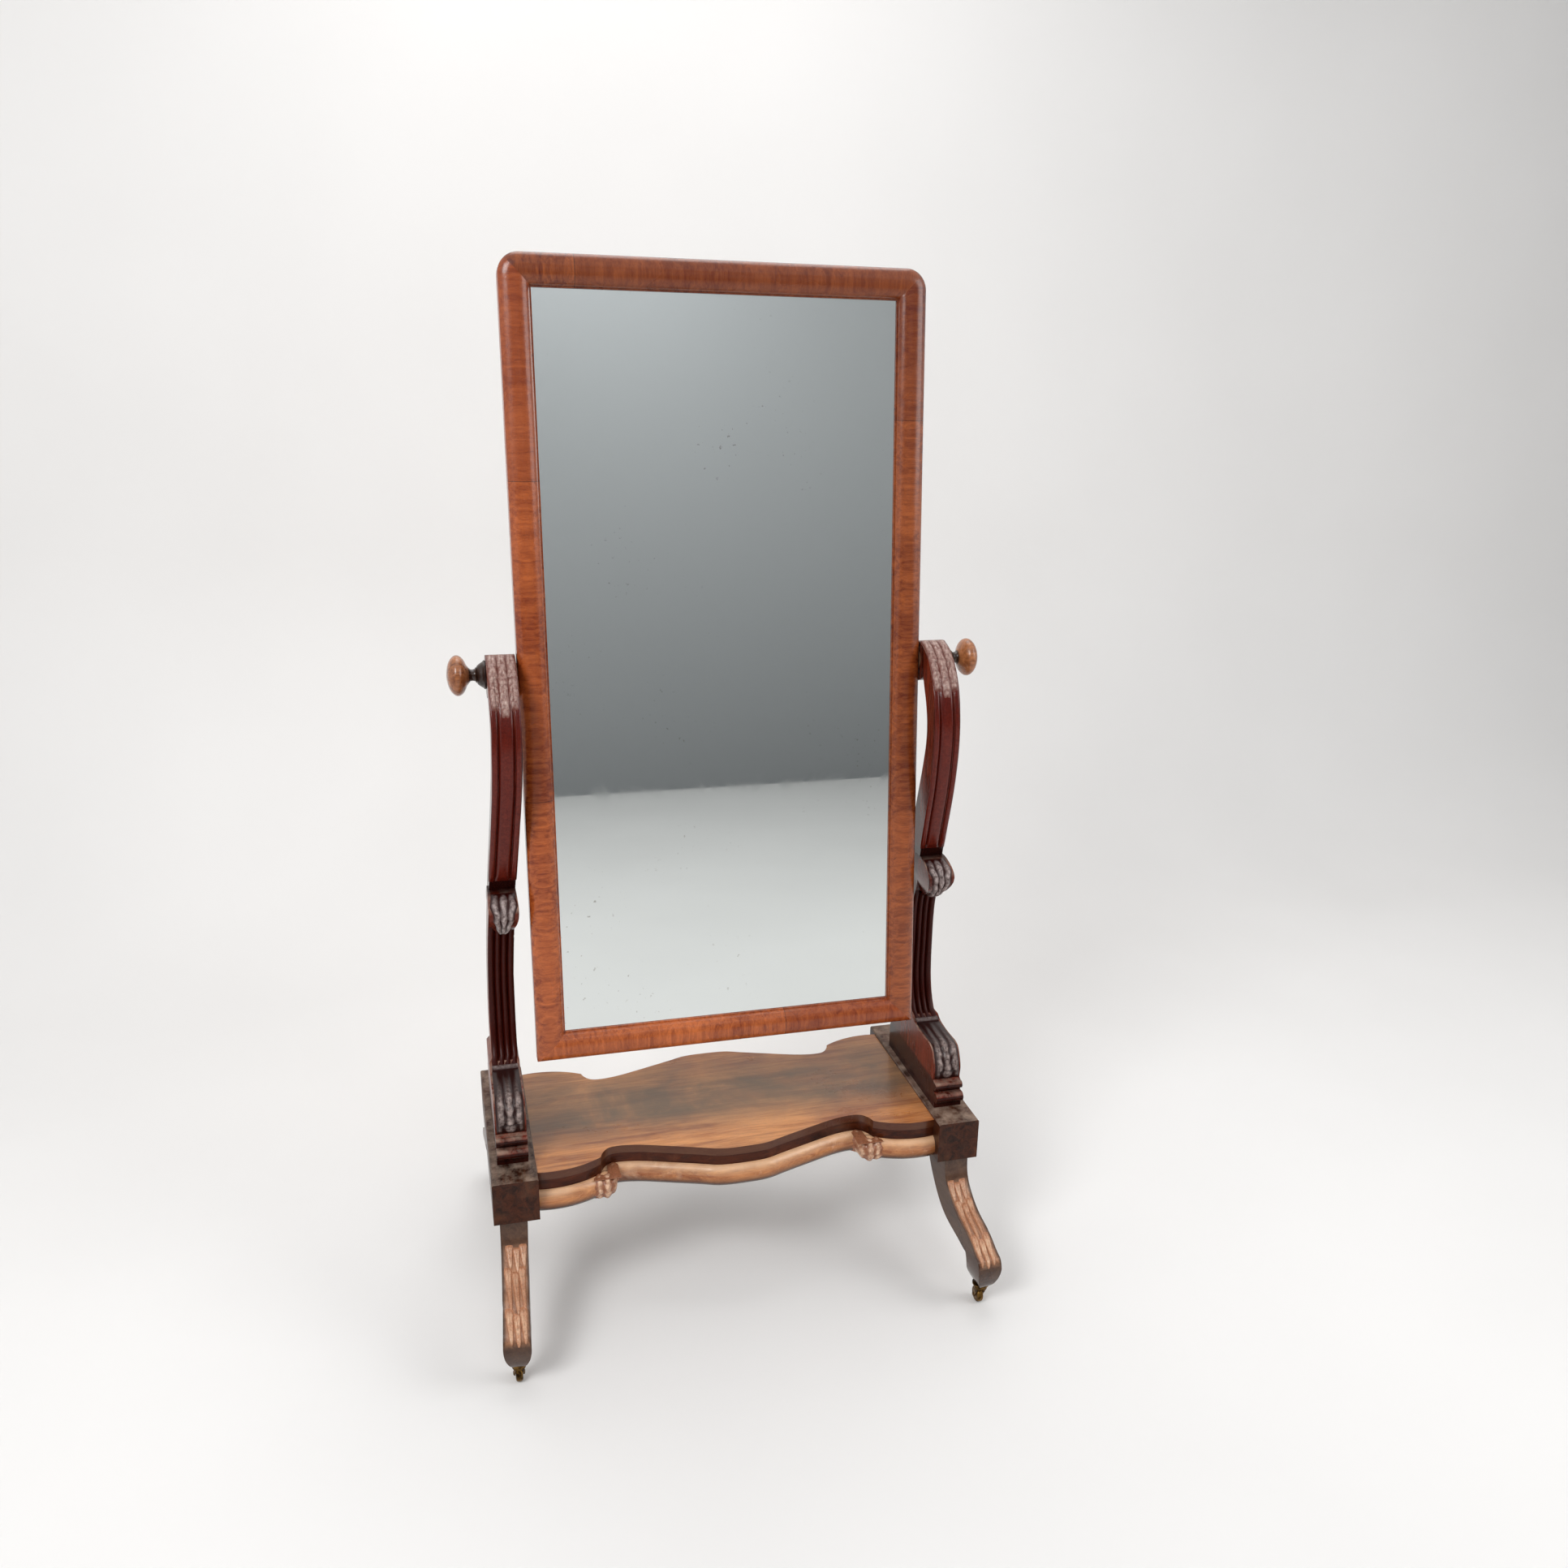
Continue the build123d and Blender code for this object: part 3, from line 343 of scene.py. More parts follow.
def repaint(material, make_mask, colour):
    """Lay another colour over a finished wood wherever make_mask(tree, axes, place) is white."""
    tree = material.node_tree
    place = next(n for n in tree.nodes if n.type == "TEX_COORD").outputs["Object"]
    base = shader_of(material).inputs["Base Color"]
    before = base.links[0].from_socket
    mask = make_mask(tree, axes_of(tree, place), place)
    tree.links.new(mix_colour(tree, mask, before, colour), base)
    return material


def edge_mask(tree, axes, place):
    """White on upright faces, black on the flat top."""
    return spread(tree, facing_up(tree), 0.4, 0.6, 0.92, 0.0)


def rubbed_mask(tree, axes, place):
    """White along the middle of the platform top, where it has gone dull and grey."""
    front = spread(tree, axes["Y"], -0.115, -0.03)
    back = spread(tree, axes["Y"], 0.05, 0.15, 1.0, 0.35)
    cloud = spread(tree, noise(tree, place, 7.0, 6, 0.62, 0.6), 0.28, 0.6, 0.45, 0.92)
    return math_node(tree, "MULTIPLY", math_node(tree, "MULTIPLY", front, back), cloud)


def painted_highlight_crown_mask(tree, axes, place):
    """White along the upper half of a half-round moulding: a painted highlight where the polish would catch the light.
    """
    rising = spread(tree, facing_up(tree), 0.1, 0.65, 0.0, 0.55)
    return math_node(tree, "MULTIPLY", rising, spread(tree, noise(tree, place, 16.0, 4), 0.3, 0.6, 0.45, 1.0))


def painted_shade_soffit_mask(tree, axes, place):
    """White on the underside of a moulding, where shade is painted dark."""
    return spread(tree, facing_up(tree), -0.45, 0.02, 0.9, 0.0)


def leg_shade_mask(tree, axes, place):
    """White down the two sides of a leg, at its knee under the block and on its rounded toe, where shade is painted
    dark.
    """
    middle = math_node(tree, "MULTIPLY_ADD", math_node(tree, "ABSOLUTE", axes["Y"]), math.tan(LEG_SPLAY), LEG_MIDDLE)
    sides = spread(tree, distance_from(tree, math_node(tree, "ABSOLUTE", axes["X"]), middle),
                   0.0150, 0.0196, 0.0, 0.85)
    toe = spread(tree, axes["Z"], 0.090, 0.104, 0.86, 0.0)
    knee = spread(tree, axes["Z"], 0.160, 0.180, 0.0, 0.82)
    return math_node(tree, "MAXIMUM", sides, math_node(tree, "MAXIMUM", toe, knee))


def foot_shadow_mask(tree, axes, place):
    """White in the sunk steps of an upright's foot and in the hollow above its waist leaf, where shadow is painted
    dark.
    """
    steps = math_node(tree, "MULTIPLY", spread(tree, axes["Z"], FOOT_TOP, FOOT_TOP + 0.006, 0.8, 0.0),
                      spread(tree, facing_up(tree), 0.3, 0.6, 1.0, 0.0))
    hollow = spread(tree, distance_from(tree, axes["Z"], WAIST_HOLLOW), 0.008, 0.014, 0.9, 0.0)
    return math_node(tree, "MAXIMUM", steps, hollow)


def neck_mask(tree, axes, place):
    """White on a knob's neck, black on its head."""
    return spread(tree, math_node(tree, "ABSOLUTE", axes["X"]), 0.3975, 0.3995, 0.92, 0.0)


def carved(name, valley, ridge, rough=0.34, coat=0.15, worn_and_highlit_levels=(), pale_from=0.35, patch_scale=170.0,
           shine=0.2):
    """Carved wood: dark in its hollows and pale on its ridges, the pale partly dust and wear and partly painted
    highlight, most near the levels that get rubbed and catch the light.
    """
    material, tree, shader, place = start_material(name)
    height = add_node(tree, "Attribute", attribute_name="relief").outputs["Fac"]
    patch = spread(tree, noise(tree, place, patch_scale, 5, 0.65), 0.36, 0.64, 0.15, 1.0)
    # Pale on the ridges: partly dust and wear, partly painted highlight
    pale = math_node(tree, "MULTIPLY", spread(tree, height, pale_from, 1.2, 0.0, 0.85), patch)
    # Bands at the given levels: rubbed wear and painted highlight
    if worn_and_highlit_levels:
        above_floor = axes_of(tree, place)["Z"]
        rubbed = 0.0
        for level, reach in worn_and_highlit_levels:
            band = spread(tree, distance_from(tree, above_floor, level), reach * 0.5, reach, 1.0, 0.3)
            rubbed = math_node(tree, "MAXIMUM", band, rubbed)
        pale = math_node(tree, "MULTIPLY", pale, rubbed)
    grain = noise(tree, place, 380.0, 3, 0.5)
    lit_valley = tuple(channel * 1.7 for channel in valley[:3]) + (1,)
    body = mix_colour(tree, spread(tree, grain, 0.3, 0.7), valley, lit_valley)
    tree.links.new(mix_colour(tree, pale, body, ridge), shader.inputs["Base Color"])
    tree.links.new(spread(tree, pale, 0, 1, rough, rough + 0.18), shader.inputs["Roughness"])
    shader.inputs["Specular IOR Level"].default_value = shine
    shader.inputs["Coat Weight"].default_value = coat
    shader.inputs["Coat Roughness"].default_value = 0.2
    bump(tree, shader, grain, 0.25, 0.0004)
    return material


def shelf_wood():
    """The platform top: warm at its front edge, rubbed grey in the middle, dark on its moulded edge."""
    material = wood("platform_top", linear(214, 146, 88), linear(138, 76, 40), "x", rough=0.3, coat=0.3, dust=0.12,
                    worn=0.12, worn_colour=(196, 150, 108), fineness=0.8, contrast=1.25)
    repaint(material, rubbed_mask, linear(84, 72, 58))
    return repaint(material, edge_mask, linear(66, 30, 15))


def silvering():
    """Old silvered plate: clear and bright, with faint wiping marks and foxing specks."""
    material, tree, shader, place = start_material("silvered_plate")
    specks = spread(tree, noise(tree, place, 160.0, 2, 0.4), 0.70, 0.76, 0.0, 0.55)
    patch = spread(tree, noise(tree, place, 6.0, 2, 0.5), 0.52, 0.66)
    foxing = math_node(tree, "MULTIPLY", specks, patch)
    colour = mix_colour(tree, foxing, (0.72, 0.75, 0.74, 1), (0.20, 0.17, 0.13, 1))
    tree.links.new(colour, shader.inputs["Base Color"])
    haze = noise(tree, place, 14.0, 5, 0.6, 1.2)
    tree.links.new(spread(tree, haze, 0.4, 0.75, 0.012, 0.055), shader.inputs["Roughness"])
    shader.inputs["Metallic"].default_value = 1.0
    return material


def metal(name, bright, dull, metallic=1.0, rough=0.32):
    """A worn metal with tarnish in patches."""
    material, tree, shader, place = start_material(name)
    tarnish = spread(tree, noise(tree, place, 95.0, 5, 0.6, 0.3), 0.40, 0.62)
    tree.links.new(mix_colour(tree, tarnish, bright, dull), shader.inputs["Base Color"])
    tree.links.new(spread(tree, tarnish, 0, 1, rough, rough + 0.3), shader.inputs["Roughness"])
    shader.inputs["Metallic"].default_value = metallic
    bump(tree, shader, noise(tree, place, 600.0, 3), 0.15, 0.0004)
    return material


def hide():
    material, tree, shader, place = start_material("washer_hide")
    cells = add_node(tree, "TexVoronoi")
    tree.links.new(place, cells.inputs["Vector"])
    cells.inputs["Scale"].default_value = 900.0
    tree.links.new(mix_colour(tree, cells.outputs["Distance"], linear(70, 44, 28), linear(112, 74, 46)),
                   shader.inputs["Base Color"])
    shader.inputs["Roughness"].default_value = 0.75
    bump(tree, shader, cells.outputs["Distance"], 0.3, 0.0003)
    return material


def veneer_with_painted_shade(colour, share):
    """The same colour of veneer darkened by a share, as painted shade."""
    return tuple(channel * share for channel in colour[:3]) + (1,)


def frame_height(v):
    """Height above the floor of a place on the frame, given in millimetres up from the pivot."""
    return PIVOT_Z + v / 1000 * math.cos(REST_TILT)


def frame_veneers():
    """The four lengths of the frame, each with its own leaves of veneer and the joints between them; the right stile
    and the top rail are darkened as painted shade.
    """
    light, dark = tuple(finishes().veneer_light), tuple(finishes().veneer_dark)
    # Each length: node, grain, joint axis, share of full colour (below 1 is painted shade) and joints
    lengths = (("left_stile", "x", "Z", 1.0, (frame_height(287), frame_height(-198))),
               ("right_stile", "x", "Z", 0.66, (frame_height(380),)),
               ("top_rail", "z", "X", 0.6, (-0.217,)),
               ("bottom_rail", "z", "X", 1.0, (0.093,)))
    return {node: wood(node + "_veneer", veneer_with_painted_shade(light, share), veneer_with_painted_shade(dark, share), grain, rough=0.24, coat=0.35,
                       dust=0.06, worn=0.02, fineness=1.7, contrast=1.2, joints=joints, joint_axis=joint_axis)
            for node, grain, joint_axis, share, joints in lengths}


def carvings():
    """The finishes of the carved work, by name."""
    return {
        "head_carving": carved("head_carving", linear(88, 50, 44), linear(222, 198, 186), pale_from=0.25),
        "upright_carving": carved("upright_carving", linear(40, 14, 11), linear(188, 172, 168)),
        "panel_carving": carved("panel_carving", linear(34, 13, 10), linear(170, 152, 146), pale_from=0.45),
        "leg_carving": carved("leg_carving", linear(150, 104, 78), linear(248, 216, 182), rough=0.24, coat=0.3,
                              patch_scale=80.0, worn_and_highlit_levels=((0.158, 0.018), (0.112, 0.020))),
        "knuckle_carving": carved("knuckle_carving", linear(124, 80, 58), linear(236, 198, 166), rough=0.24,
                                  coat=0.3, pale_from=0.55),
        "reed_work": carved("reed_work", linear(48, 15, 10), linear(106, 38, 26), rough=0.3, coat=0.08, shine=0.1),
        "bead_work": carved("bead_work", linear(70, 22, 15), linear(132, 54, 38), rough=0.16, coat=0.22,
                            shine=0.14),
    }


def make_materials():
    """A material for each node of the frame, and one for each kind of carving."""
    wood_grain_group()
    age_group()
    made = {**frame_veneers(), "shelf_board": shelf_wood(), "mirror_glass": silvering()}
    uprights = wood("upright_mahogany", tuple(finishes().stand_light), tuple(finishes().stand_dark), "z", rough=0.22,
                    coat=0.2, shine=0.12, dust=0.75, worn=0.06, worn_colour=(150, 108, 92))
    # Painted shadow in the foot's steps and in the hollow above the waist leaf
    repaint(uprights, foot_shadow_mask, linear(30, 10, 9))
    blocks = wood("plinth_mahogany", linear(80, 42, 24), linear(32, 15, 9), "y", rough=0.34, coat=0.06, shine=0.16,
                  dust=0.7, worn=0.08, worn_colour=(150, 116, 88))
    frieze = wood("frieze_mahogany", linear(84, 40, 20), linear(34, 13, 8), "x", rough=0.3, coat=0.08, shine=0.16,
                  dust=0.05, worn=0.03)
    moulding = wood("moulding_mahogany", linear(206, 138, 86), linear(134, 74, 42), "x", rough=0.22, coat=0.4,
                    dust=0.1, worn=0.25, worn_colour=(240, 208, 176), contrast=1.2)
    # Painted highlight along the moulding's crown
    repaint(moulding, painted_highlight_crown_mask, linear(238, 200, 162))
    # Painted shade on the moulding's underside
    repaint(moulding, painted_shade_soffit_mask, linear(56, 32, 20))
    legs = wood("leg_mahogany", linear(188, 136, 102), linear(112, 70, 48), "slope", rough=0.28, coat=0.3, dust=0.2,
                worn=0.3, worn_colour=(224, 188, 154))
    # Painted shade down the sides, under the knee and on the toe of each leg
    repaint(legs, leg_shade_mask, linear(40, 25, 18))
    knobs = wood("knob_mahogany", linear(176, 112, 70), linear(100, 54, 32), "x", rough=0.2, coat=0.4, dust=0.2,
                 worn=0.06, fineness=1.6)
    repaint(knobs, neck_mask, linear(28, 17, 13))
    collars = wood("collar_mahogany", linear(42, 26, 20), linear(20, 11, 9), "x", rough=0.24, coat=0.3, dust=0.15,
                   worn=0.03)
    pine = wood("bare_pine", linear(196, 158, 108), linear(146, 104, 64), "z", rough=0.72, coat=0.0, dust=0.4,
                worn=0.1, worn_colour=(150, 128, 100), contrast=0.9, joint_axis="X")
    brass = metal("dull_brass", linear(122, 92, 50), linear(44, 32, 22))
    iron = metal("dark_iron", linear(112, 108, 104), linear(66, 56, 50), rough=0.42)
    by_slot = {"stand_mahogany": uprights, "platform_mahogany": frieze, "leg_mahogany": legs, "softwood": pine,
               "knob_mahogany": knobs, "brass": brass, "steel": iron, "washer_leather": hide()}
    by_ending = {"plinth_block": blocks, "knob_collar": collars, "_moulding": moulding}
    for node in NODES:
        if node not in made:
            own = [material for ending, material in by_ending.items() if node.endswith(ending)]
            made[node] = own[0] if own else by_slot[SLOT_OF[node]]
    return {**made, **carvings()}


# Modelling helpers
def clear_selection():
    if bpy.context.mode != "OBJECT":
        bpy.ops.object.mode_set(mode="OBJECT")
    bpy.ops.object.select_all(action="DESELECT")
    bpy.context.view_layer.objects.active = None


def make_active(piece):
    clear_selection()
    piece.select_set(True)
    bpy.context.view_layer.objects.active = piece


def turn_outwards(merge=0.0):
    """Turn every face outwards, after merging doubled points where a distance is given."""
    bpy.ops.object.mode_set(mode="EDIT")
    bpy.ops.mesh.select_all(action="SELECT")
    if merge:
        bpy.ops.mesh.remove_doubles(threshold=merge)
    bpy.ops.mesh.normals_make_consistent(inside=False)
    bpy.ops.object.mode_set(mode="OBJECT")


def set_down(piece, body, material):
    """Finish a piece: its place goes into its mesh, and it rides on its body."""
    make_active(piece)
    bpy.ops.object.transform_apply(location=True, rotation=True, scale=True)
    piece.data.materials.clear()
    piece.data.materials.append(material)
    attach(piece, body)


def apply_all(piece):
    make_active(piece)
    for modifier in list(piece.modifiers):
        bpy.ops.object.modifier_apply(modifier=modifier.name)


def finish_material(node):
    return bpy.data.materials[bpy.context.scene["material_of_" + node]]


def faired(node, name, angle=0.6, reshape=None):
    """A merged copy of a CAD node with smooth shading, shown in its stead."""
    piece = NODES[node].copy()
    piece.data = NODES[node].data.copy()
    piece.name = name
    piece.parent = None
    if reshape:
        for vertex in piece.data.vertices:
            vertex.co = reshape(vertex.co)
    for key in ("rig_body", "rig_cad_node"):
        del piece[key]
    bpy.context.scene.collection.objects.link(piece)
    make_active(piece)
    turn_outwards(merge=0.00002)
    if piece.data.has_custom_normals:
        bpy.ops.mesh.customdata_custom_splitnormals_clear()
    bpy.ops.object.shade_smooth_by_angle(angle=angle)
    set_down(piece, BODY_OF[node], finish_material(node))
    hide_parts(node)
    return piece


SURFACES = {}


def front_of(node, x, z):
    """The place on a node's front at a distance across and a height, and which way it faces there."""
    if node not in SURFACES:
        mesh = NODES[node].data
        SURFACES[node] = BVHTree.FromPolygons([v.co for v in mesh.vertices], [p.vertices for p in mesh.polygons])
    return SURFACES[node].ray_cast(Vector((x, -0.8, z)), Vector((0, 1, 0)))[:2]


def relief(name, node, middle, half_width, low, high, rise, finish, width=lambda along: 1.0, columns=22, rows=40):
    """Carving in relief: a grid laid over a node's front, lifted off it by rise(across, along)."""
    clear_selection()
    bpy.ops.mesh.primitive_grid_add(x_subdivisions=columns, y_subdivisions=rows, size=2)
    piece = bpy.context.object
    piece.name = name
    heights = []
    for vertex in piece.data.vertices:
        across, along = vertex.co.x, (vertex.co.y + 1) / 2
        z = low + along * (high - low)
        x = middle(z) + across * half_width * width(along)
        spot, facing = front_of(node, x, z)
        if spot is None:
            spot, facing = front_of(node, middle(z) + (x - middle(z)) * 0.6, z)
        if spot is None:
            spot, facing = front_of(node, middle((low + high) / 2), (low + high) / 2)
        lift = rise(across, along)
        heights.append(lift / sizes().leaf_depth)
        vertex.co = Vector((x, spot.y, z)) + Vector((0, facing.y, facing.z)) * (lift - CARVING_INSET)
    piece.data.attributes.new("relief", "FLOAT", "POINT").data.foreach_set("value", heights)
    shell = piece.modifiers.new("thickness", "SOLIDIFY")
    shell.thickness = CARVING_SHELL
    shell.offset = 1.0
    apply_all(piece)
    turn_outwards()
    bpy.ops.object.shade_smooth_by_angle(angle=1.0)
    set_down(piece, BODY_OF[node], finish_material(finish))
    return piece


def ends(along, soft=0.12):
    """Fade to nothing at both ends of a carving."""
    return min(1.0, along / soft, (1 - along) / soft) ** 0.5 if 0 < along < 1 else 0.0


def tongue(across, along):
    """A long rounded leaf with a sunk midrib and a few side veins."""
    crown = max(0.0, 1 - across * across) ** 0.55
    veins = 0.10 * math.cos(2 * math.pi * (5 * along + 1.2 * abs(across)))
    return sizes().leaf_depth * crown * ends(along, 0.2) * (0.85 + veins - 0.25 * math.exp(-(across / 0.16) ** 2))


def three_lobes(across, along):
    """A leaf of three ridges that draw together at its tip, with scalloped lobes down its sides."""
    crown = max(0.0, 1 - abs(across) ** 5) ** 0.5
    ridges = 0.62 + 0.38 * math.cos(3 * math.pi * across)
    scallops = 0.14 * math.cos(2 * math.pi * (3.5 * along - 1.1 * abs(across)))
    return sizes().leaf_depth * 1.25 * crown * ends(along, 0.10) * (ridges + scallops)


def leaf_and_drop(across, along):
    """The panel leaf: three lobes above, a scroll at each side and a round drop at its foot."""
    drop = max(0.0, 1 - (across / 0.42) ** 2 - ((along - 0.16) / 0.15) ** 2) ** 0.5
    leaf = three_lobes(across, along) / sizes().leaf_depth if along > 0.3 else 0.22 * (1 - across * across)
    side = 0.75 * max(0.0, 1 - ((abs(across) - 0.78) / 0.2) ** 2) * ends(along)
    return sizes().leaf_depth * max(leaf, 1.1 * drop, side) * ends(along, 0.05)


def head_tongue(across, along):
    """A soft broad leaf that curls over the crest of the upright."""
    crown = max(0.0, 1 - across * across) ** 0.5
    veins = 0.12 * math.cos(2 * math.pi * (6 * along + 1.0 * abs(across)))
    foot = min(1.0, along / 0.16)
    return sizes().leaf_depth * crown * foot * (0.85 + veins - 0.2 * math.exp(-(across / 0.18) ** 2))


def collar(across, along):
    return sizes().leaf_depth * 0.75 * max(0.0, math.sin(math.pi * along)) ** 0.5


def scroll_bead(across, along):
    """A bead that dies softly into the leaves above it."""
    fade = min(1.0, (1 - along) / 0.28) * min(1.0, along / 0.03)
    return sizes().leaf_depth * 0.62 * max(0.0, 1 - across * across) ** 0.5 * fade


def reed(across, along):
    return sizes().leaf_depth * 0.42 * max(0.0, 1 - across * across) ** 0.5 * ends(along, 0.04)


def pointed(along):
    """Outline of a leaf that hangs to a point."""
    return max(0.05, min(1.0, 1.12 * along ** 0.72) * (1 - 0.10 * abs(math.sin(3.5 * math.pi * along))))


def wavy(along):
    return 1 - 0.14 * abs(math.sin(3 * math.pi * along))


def turned(name, profile, steps=64):
    """A turned piece: a profile of (x, radius) spun round the pivot axis."""
    clear_selection()
    mesh = bpy.data.meshes.new(name)
    points = [(x, 0, PIVOT_Z + radius) for x, radius in profile]
    mesh.from_pydata(points, [(i, i + 1) for i in range(len(points) - 1)], [])
    piece = bpy.data.objects.new(name, mesh)
    bpy.context.scene.collection.objects.link(piece)
    make_active(piece)
    bpy.ops.object.mode_set(mode="EDIT")
    bpy.ops.mesh.select_all(action="SELECT")
    bpy.ops.mesh.spin(steps=steps, angle=2 * math.pi, center=(0, 0, PIVOT_Z), axis=(1, 0, 0))
    bpy.ops.object.mode_set(mode="OBJECT")
    turn_outwards(merge=0.00005)
    make_active(piece)
    bpy.ops.object.shade_smooth_by_angle(angle=0.7)
    return piece


def upright_middle(z):
    """Middle of the right hand upright's front at a height, in metres."""
    heights = (0.42, 0.56, 0.729, 0.915, 1.01)
    middles = (0.375, 0.374, 0.3662, 0.354, 0.3507)
    if z <= heights[0]:
        return 0.377
    for i in range(4):
        if z <= heights[i + 1]:
            share = (z - heights[i]) / (heights[i + 1] - heights[i])
            return middles[i] + share * (middles[i + 1] - middles[i])
    return middles[-1]


def drawn_in_toe(spot):
    """Draw a leg in towards its castor below the ball of its toe."""
    if spot.z > TOE_BALL:
        return spot
    centre = math.copysign(LEG_MIDDLE + abs(spot.y) * math.tan(LEG_SPLAY), spot.x)
    share = (TOE_BALL - spot.z) / TOE_DEPTH
    return Vector((centre + (spot.x - centre) * (1 - TOE_NARROWING * share ** 1.8), spot.y, spot.z))


class MIRROR_OT_finishes(bpy.types.Operator):
    """Give every piece of the frame its wood, glass, metal or leather"""
    bl_idname = "mirror.finishes"
    bl_label = "Finishes"

    def execute(self, context):
        for node, material in make_materials().items():
            context.scene["material_of_" + node] = material.name
            if node in NODES:
                NODES[node].data.materials.clear()
                NODES[node].data.materials.append(material)
        return {"FINISHED"}


class MIRROR_OT_frame_moulding(bpy.types.Operator):
    """Fair the cushion moulding of the looking glass"""
    bl_idname = "mirror.frame_moulding"
    bl_label = "Frame moulding"

    def execute(self, context):
        for node in ("left_stile", "right_stile", "top_rail", "bottom_rail"):
            faired(node, node + "_cushion", 0.5)
        return {"FINISHED"}


class MIRROR_OT_stand(bpy.types.Operator):
    """Fair the uprights, the platform and the legs"""
    bl_idname = "mirror.stand"
    bl_label = "Stand"

    def execute(self, context):
        for side in ("left", "right"):
            faired(side + "_upright", side + "_scroll_upright", 0.7)
        for place in ("front", "rear"):
            faired(place + "_apron", place + "_frieze", 0.5)
            faired(place + "_moulding", place + "_half_round", 0.6)
        for corner in CORNERS:
            faired(corner + "_leg", corner + "_cabriole", 0.6, reshape=drawn_in_toe)
            faired(corner + "_castor_wheel", corner + "_roller", 0.6)
        return {"FINISHED"}


def beside(sign, middle, offset):
    """A line beside the middle of a piece on the left or right hand side."""
    return lambda z: sign * (middle(z) + offset)


class MIRROR_OT_upright_leaves(bpy.types.Operator):
    """Carve the leaves at the head, the waist and the foot of each upright"""
    bl_idname = "mirror.upright_leaves"
    bl_label = "Upright leaves"

    def execute(self, context):
        for side, sign in SIDES:
            node = side + "_upright"
            crest = max(v.co.z for v in NODES[node].data.vertices) - 0.0012
            for place, offset, low in (("inner", -0.0138, 1.034), ("middle", 0, 1.022), ("outer", 0.0138, 1.034)):
                relief(f"{side}_head_leaf_{place}", node, beside(sign, upright_middle, offset), 0.0070, low, crest,
                       head_tongue, "head_carving", wavy, rows=60)
            relief(side + "_waist_leaf", node, beside(sign, upright_middle, 0), 0.0208, 0.650, 0.727, three_lobes,
                   "upright_carving", pointed)
            relief(side + "_foot_leaf", node, beside(sign, upright_middle, 0), 0.0215, 0.348, 0.4065, leaf_and_drop,
                   "panel_carving")
            relief(side + "_foot_collar", node, beside(sign, upright_middle, 0), 0.0212, 0.4070, 0.4108, collar,
                   "upright_carving", columns=8, rows=12)
        return {"FINISHED"}


class MIRROR_OT_beads(bpy.types.Operator):
    """Work the rounded beads of the scroll and the reeds below the waist"""
    bl_idname = "mirror.beads"
    bl_label = "Beads and reeds"

    def execute(self, context):
        for side, sign in SIDES:
            node = side + "_upright"
            for place, offset, half in (("inner", -0.0176, 0.0034), ("middle", 0, 0.0112), ("outer", 0.0176, 0.0034)):
                relief(f"{side}_scroll_bead_{place}", node, beside(sign, upright_middle, offset), half, 0.746, 1.066,
                       scroll_bead, "bead_work", columns=12, rows=64)
            for count, offset in enumerate((-0.0158, -0.0053, 0.0053, 0.0158)):
                relief(f"{side}_reed_{count}", node, beside(sign, upright_middle, offset), 0.0042, 0.4112, 0.656,
                       reed, "reed_work", columns=8, rows=50)
        return {"FINISHED"}


class MIRROR_OT_leg_leaves(bpy.types.Operator):
    """Carve the hanging drops on the front and back of the legs"""
    bl_idname = "mirror.leg_leaves"
    bl_label = "Leg drops"

    def execute(self, context):
        for side, sign in SIDES:
            for level, spot, low, high in (("knee", 0.3815, 0.150, 0.177), ("shin", 0.3862, 0.124, 0.152),
                                           ("ankle", 0.3898, 0.096, 0.126)):
                for place, offset in (("inner", -0.0108), ("middle", 0), ("outer", 0.0108)):
                    drop = 0.004 if place == "middle" else 0.0
                    relief(f"{side}_{level}_drop_{place}", side + "_front_leg",
                           beside(sign, lambda z, spot=spot: spot, offset), 0.0056, low - drop, high - drop, tongue,
                           "leg_carving", pointed, columns=10, rows=18)
        for piece in [o for o in bpy.data.objects if "_drop_" in o.name]:
            twin = piece.copy()
            twin.data = piece.data.copy()
            twin.name = piece.name.replace("_drop_", "_rear_drop_")
            twin.parent = None
            context.scene.collection.objects.link(twin)
            make_active(twin)
            twin.scale = (1, -1, 1)
            bpy.ops.object.transform_apply(location=True, rotation=True, scale=True)
            turn_outwards()
            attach(twin, "stand")
        return {"FINISHED"}


class MIRROR_OT_knuckles(bpy.types.Operator):
    """Carve the front knuckles that cover the cusps of the platform moulding"""
    bl_idname = "mirror.knuckles"
    bl_label = "Knuckles"

    def execute(self, context):
        for side, sign in SIDES:
            crest = max(v.co.z for v in NODES["front_moulding"].data.vertices if abs(abs(v.co.x) - KNUCKLE_X) < 0.02)
            relief(side + "_knuckle_leaf", "front_moulding", beside(sign, lambda z: 0.2275, 0), 0.0225, 0.2225, crest,
                   three_lobes, "knuckle_carving", wavy)
        return {"FINISHED"}


